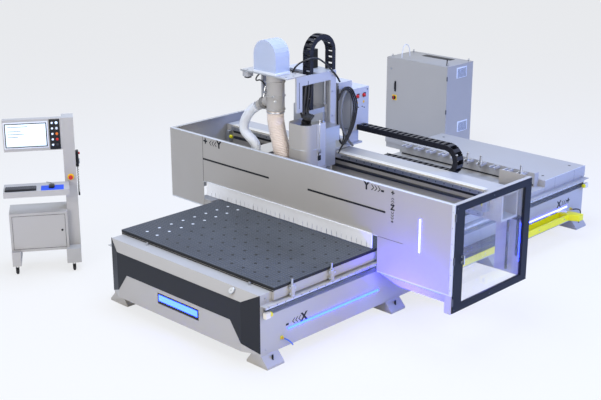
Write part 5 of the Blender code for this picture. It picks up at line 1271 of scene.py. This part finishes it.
def build_desk_body():
    seams = [desk_block((-0.337, y, 0.300), (-0.3345, y + 0.003, 0.620), DARK, 0.0003) for y in (0.06, 0.32)]
    seams += [desk_block((x, 0.0275, 0.262), (x + 0.003, 0.0305, 0.622), DARK, 0.0003)
              for x in (-0.31, 0.222)]
    seams += [desk_block((-0.31, 0.0275, z), (0.225, 0.0305, z + 0.003), DARK, 0.0003)
              for z in (0.262, 0.620)]
    keep("desk_door_seams", "root", seams)
    keep("desk_door_latch", "root",
         desk_turned(0.190, 0.030, 0.45, DESK_FRONT,
                     [(0.012, 0), (0.012, 0.003), (0.006, 0.004), (0.006, 0.007)], BLACK, 16))
    keep("desk_vents", "root",
         [desk_block((-0.10, 0.348, z), (0.10, 0.3515, z + 0.006), BLACK, 0.001)
          for z in (0.50, 0.52, 0.54, 0.56, 0.58)])
    keep("column_screws", "root",
         [desk_turned(x, 0.1025, z, DESK_FRONT, [(0.005, 0), (0.004, 0.002)], DARK_STEEL, 10)
          for x in (0.262, 0.354) for z in (0.75, 1.10, 1.35, 1.59)])
    keep("stop_plate", "root",
         desk_turned(0.309, 0.0985, 0.995, DESK_FRONT, [(0.034, 0), (0.034, 0.001), (0.032, 0.002)],
                     YELLOW_PLATE, 32))
    keep("tray_brackets", "root",
         [flat_shape([(0.10, 0.888), (0.10, 0.84), (-0.12, 0.888)], 0.006, desk(x, 0, 0), -DESK_FRONT,
                     TOP, CASING) for x in (-0.30, 0.20)])


def build_keyboard():
    top = node_box("keyboard_tray")[1].z
    keep("keyboard_case", "root",
         desk_block((-0.345, -0.165, top), (-0.035, -0.045, top + 0.016), BLACK, 0.005))
    keep("keyboard_keys", "root",
         [desk_block((x, y, top + 0.0155), (x + 0.0165, y + 0.0170, top + 0.0225), KEY, 0.002)
          for y in (-0.156 + row * 0.0205 for row in range(5))
          for x in (-0.335 + column * 0.0197 for column in range(15))])
    keep("mouse_pad", "root", desk_block((0.010, -0.168, top), (0.235, -0.012, top + 0.003), BLUE_PAD, 0.001))
    keep("mouse", "root",
         desk_block((0.088, -0.125, top + 0.003), (0.146, -0.030, top + 0.030), BLACK, 0.013))
    keep("mouse_cable", "root",
         pipe([desk(0.117, -0.032, top + 0.014), desk(0.118, 0.02, top + 0.008),
               desk(0.10, 0.07, top + 0.006), desk(0.06, 0.096, top + 0.006)], 0.0022, CABLE, sides=2))


def build_pendant():
    keep("hand_pendant", "root", desk_block((0.3695, 0.135, 1.085), (0.400, 0.205, 1.255), BLACK, 0.008))
    keep("pendant_dial", "root",
         desk_turned(0.3995, 0.170, 1.140, DESK_RIGHT,
                     [(0.026, 0), (0.027, 0.002), (0.027, 0.008), (0.024, 0.010)], TURNED, 28))
    keep("pendant_button", "root",
         desk_turned(0.3995, 0.170, 1.225, DESK_RIGHT,
                     [(0.009, 0), (0.013, 0.004), (0.013, 0.012), (0.009, 0.015)], RED))
    loops, corners = [], 26 * 8
    for number in range(corners + 1):
        angle, fall = math.tau * number / 8, number / corners
        here = desk(0.385, 0.170, 1.085 - 0.33 * math.sin(math.pi * fall * 0.5))
        here += desk_way(0, 0.06 * fall) + desk_way(math.cos(angle) * 0.007, math.sin(angle) * 0.007)
        loops.append(here)
    keep("pendant_coil", "root", pipe(loops, 0.0030, CABLE, sides=2, smooth=False))


def build_casters():
    for name, side in (("left", -1), ("right", 1)):
        x = side * 0.2895
        keep(f"caster_plate_{name}", "root",
             desk_block((x - 0.036, -0.022, 0.1000), (x + 0.036, 0.058, 0.1045), BLACK, 0.002),
             [desk_block((x + u - 0.005, 0.018 + v - 0.005, 0.1040),
                         (x + u + 0.005, 0.018 + v + 0.005, 0.1085), DARK_STEEL, 0.001)
              for u in (-0.028, 0.028) for v in (-0.032, 0.032)])
        for end in ("front", "rear"):
            low, high = node_box(f"caster_wheel_{end}_{name}")
            keep(f"hub_{end}_{name}", f"wheel_{end}_{name}",
                 [turned((low + high) / 2 + DESK_RIGHT * turn * 0.0090, DESK_RIGHT * turn,
                         [(0.022, 0), (0.020, 0.0025), (0.010, 0.0026), (0.008, 0.0045)], WHITE_PLASTIC, 20)
                  for turn in (-1, 1)])


# ---------------------------------------------------------------- electrical cabinet
def build_cabinet():
    face = node_box("cabinet_door")[0].x
    keep("cabinet_latch", "cabinet_lid",
         block((face - 0.012, 2.604, 0.840), (face, 2.630, 0.990), BLACK, 0.004),
         block((face - 0.026, 2.610, 0.870), (face - 0.011, 2.624, 0.965), BLACK, 0.005))
    keep("cabinet_lock", "cabinet_lid",
         turned((face, 2.699, 1.158), FRONT, [(0.015, 0), (0.015, 0.005), (0.011, 0.006), (0.011, 0.010)],
                TURNED, 20))
    keep("cabinet_hinges", "cabinet_lid",
         [turned((face - 0.003, 1.7185, z), TOP, [(0.006, 0), (0.008, 0.004), (0.008, 0.056), (0.006, 0.060)],
                 DARK_STEEL, 14) for z in (0.20, 0.66, 1.12)])
    keep("switch_plate", "cabinet_lid",
         block((face - 0.003, 2.592, 0.713), (face - 0.0002, 2.668, 0.789), YELLOW_PLATE, 0.001))
    knob = node_box("main_switch")[0].x
    keep("switch_grip", "switch",
         block((knob - 0.004, 2.6225, 0.729), (knob + 0.006, 2.6375, 0.773), RED, 0.004))

    low, high = node_box("cabinet_body")
    for number, (x, z) in enumerate(((6.34, 1.20), (6.40, 0.435))):
        keep(f"vent_plate_{number}", "root",
             block((x - 0.115, low.y - 0.006, z - 0.075), (x + 0.115, low.y, z + 0.075),
                   WHITE_PLASTIC, 0.004))
        keep(f"vent_slats_{number}", "root",
             [block((x - 0.095, low.y - 0.0085, z - 0.062 + n * 0.0155),
                    (x + 0.095, low.y - 0.0050, z - 0.056 + n * 0.0155), KEY, 0.001) for n in range(8)])
    eyes = []
    for x in (low.x + 0.045, high.x - 0.045):
        for y in (low.y + 0.045, high.y - 0.045):
            eyes.append(turned((x, y, high.z), TOP,
                               [(0.014, 0), (0.014, 0.006), (0.008, 0.007), (0.008, 0.012)], TURNED, 16))
            clear_selection()
            bpy.ops.mesh.primitive_torus_add(major_radius=0.013, minor_radius=0.004, major_segments=20,
                                             minor_segments=8, location=at(x, y, high.z + 0.026),
                                             rotation=(math.pi / 2, 0, 0))
            eyes.append(coat(settle(), TURNED))
    keep("lifting_eyes", "root", eyes)
    keep("cable_loop", "root",
         pipe([(6.10, 2.58, 1.312), (6.11, 2.58, 1.40), (6.15, 2.58, 1.478), (6.20, 2.58, 1.488),
               (6.25, 2.58, 1.44), (6.27, 2.58, 1.36), (6.275, 2.58, 1.312)], 0.006, WHITE_HOSE))
    keep("antenna", "root",
         turned((6.11, 1.80, high.z), TOP,
                [(0.014, 0), (0.014, 0.012), (0.008, 0.014), (0.007, 0.080), (0.005, 0.084)], BLACK, 16))
    keep("cabinet_plinth", "root",
         block((low.x + 0.010, low.y - 0.002, 0.0), (low.x + 0.012, high.y + 0.002, 0.075), DARK, 0.0008),
         block((low.x + 0.010, low.y - 0.002, 0.0), (high.x - 0.01, low.y + 0.001, 0.075), DARK, 0.0008))
    keep("cabinet_roof_lip", "root",
         block((low.x - 0.004, low.y - 0.004, high.z - 0.002),
               (high.x + 0.004, high.y + 0.004, high.z + 0.004), LIGHT, 0.002))
    keep("gland_plate", "root",
         block((high.x - 0.20, low.y + 0.25, high.z), (high.x - 0.08, low.y + 0.75, high.z + 0.006),
               DARK, 0.002))


# ---------------------------------------------------------------- floor, light and background
FLOOR_COLOR = (246, 247, 249)
SKY_COLOR, SKY_STRENGTH = (232, 240, 252), 0.40
LIGHTS = (  # name, place, where it points, width, watts, colour
    ("overhead_light", (1.5, 0.5, 7.5), (1.8, 0, 0.5), 6.0, 520, (206, 222, 255)),
    ("side_light", (-1.5, -8.5, 4.2), (2.0, -0.5, 0.6), 4.0, 260, (255, 248, 240)),
    ("front_light", (-8.0, -1.0, 4.0), (1.0, 0.3, 0.8), 4.0, 300, (255, 250, 244)),
    ("rear_light", (5.5, -6.5, 4.5), (4.3, -1.0, 0.4), 2.5, 430, (92, 140, 255)),
    ("panel_glow", (1.10, -1.40, 0.32), (1.30, -1.50, 0.56), 0.25, 15, (44, 30, 255)),
    ("bay_glow", (2.20, -1.55, 0.40), (1.30, -1.80, 0.70), 0.4, 4, (60, 60, 255)))


def stage_material(name, color):
    """Lit like any surface, but seen by the camera mostly at its plain colour."""
    made = bpy.data.materials.new(name)
    made.use_nodes = True
    tree = made.node_tree
    shader = tree.nodes["Principled BSDF"]
    shader.inputs["Base Color"].default_value = (*linear(color), 1)
    shader.inputs["Roughness"].default_value = 0.9
    plain = tree.nodes.new("ShaderNodeEmission")
    plain.inputs["Color"].default_value = (*linear(color), 1)
    path = tree.nodes.new("ShaderNodeLightPath").outputs
    mix = tree.nodes.new("ShaderNodeMixShader")
    for socket, value in zip(mix.inputs, (calc(tree, "MULTIPLY", path["Is Camera Ray"], 0.80),
                                          shader.outputs[0], plain.outputs[0])):
        feed(tree, socket, value)
    tree.links.new(mix.outputs[0], tree.nodes["Material Output"].inputs["Surface"])
    return made


def build_stage():
    clear_selection()
    bpy.ops.mesh.primitive_plane_add(size=240, location=(0, 0, 0))
    floor = bpy.context.object
    floor.name = "floor"
    bpy.ops.object.transform_apply(scale=True)
    coat(floor, stage_material("floor_paint", FLOOR_COLOR))

    world = bpy.data.worlds.new("studio")
    bpy.context.scene.world = world
    world.use_nodes = True
    tree = world.node_tree
    background, seen = tree.nodes["Background"], tree.nodes.new("ShaderNodeBackground")
    for node, color, strength in ((background, SKY_COLOR, SKY_STRENGTH), (seen, FLOOR_COLOR, 1.0)):
        node.inputs["Color"].default_value = (*linear(color), 1)
        node.inputs["Strength"].default_value = strength
    path = tree.nodes.new("ShaderNodeLightPath").outputs
    straight = calc(tree, "MAXIMUM", path["Is Camera Ray"], path["Is Glossy Ray"])
    straight = calc(tree, "MAXIMUM", straight, path["Is Transmission Ray"])
    mix = tree.nodes.new("ShaderNodeMixShader")
    for socket, value in zip(mix.inputs, (straight, background.outputs[0], seen.outputs[0])):
        feed(tree, socket, value)
    tree.links.new(mix.outputs[0], tree.nodes["World Output"].inputs["Surface"])

    for name, place, aim, size, power, color in LIGHTS:
        data = bpy.data.lights.new(name, "AREA")
        data.shape = "DISK"
        data.size = size
        data.energy = power
        data.color = linear(color)
        light = bpy.data.objects.new(name, data)
        light.visible_camera = light.visible_transmission = False
        bpy.context.collection.objects.link(light)
        light.location = at(*place)
        light.rotation_euler = (at(*aim) - at(*place)).to_track_quat("-Z", "Y").to_euler()
        if name.endswith("glow"):
            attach(light, "gantry")


build_board()
build_marks()
build_strips()
build_bed_details()
build_rails()
build_bumpers()
build_stops()
build_feet()
build_curtain()
build_chains()
build_gantry()
build_door()
build_hoses()
build_carriage()
build_junction_box()
build_head()
build_rack()
build_tray()
build_screen()
build_button_panel()
build_desk_body()
build_keyboard()
build_pendant()
build_casters()
build_cabinet()
build_stage()
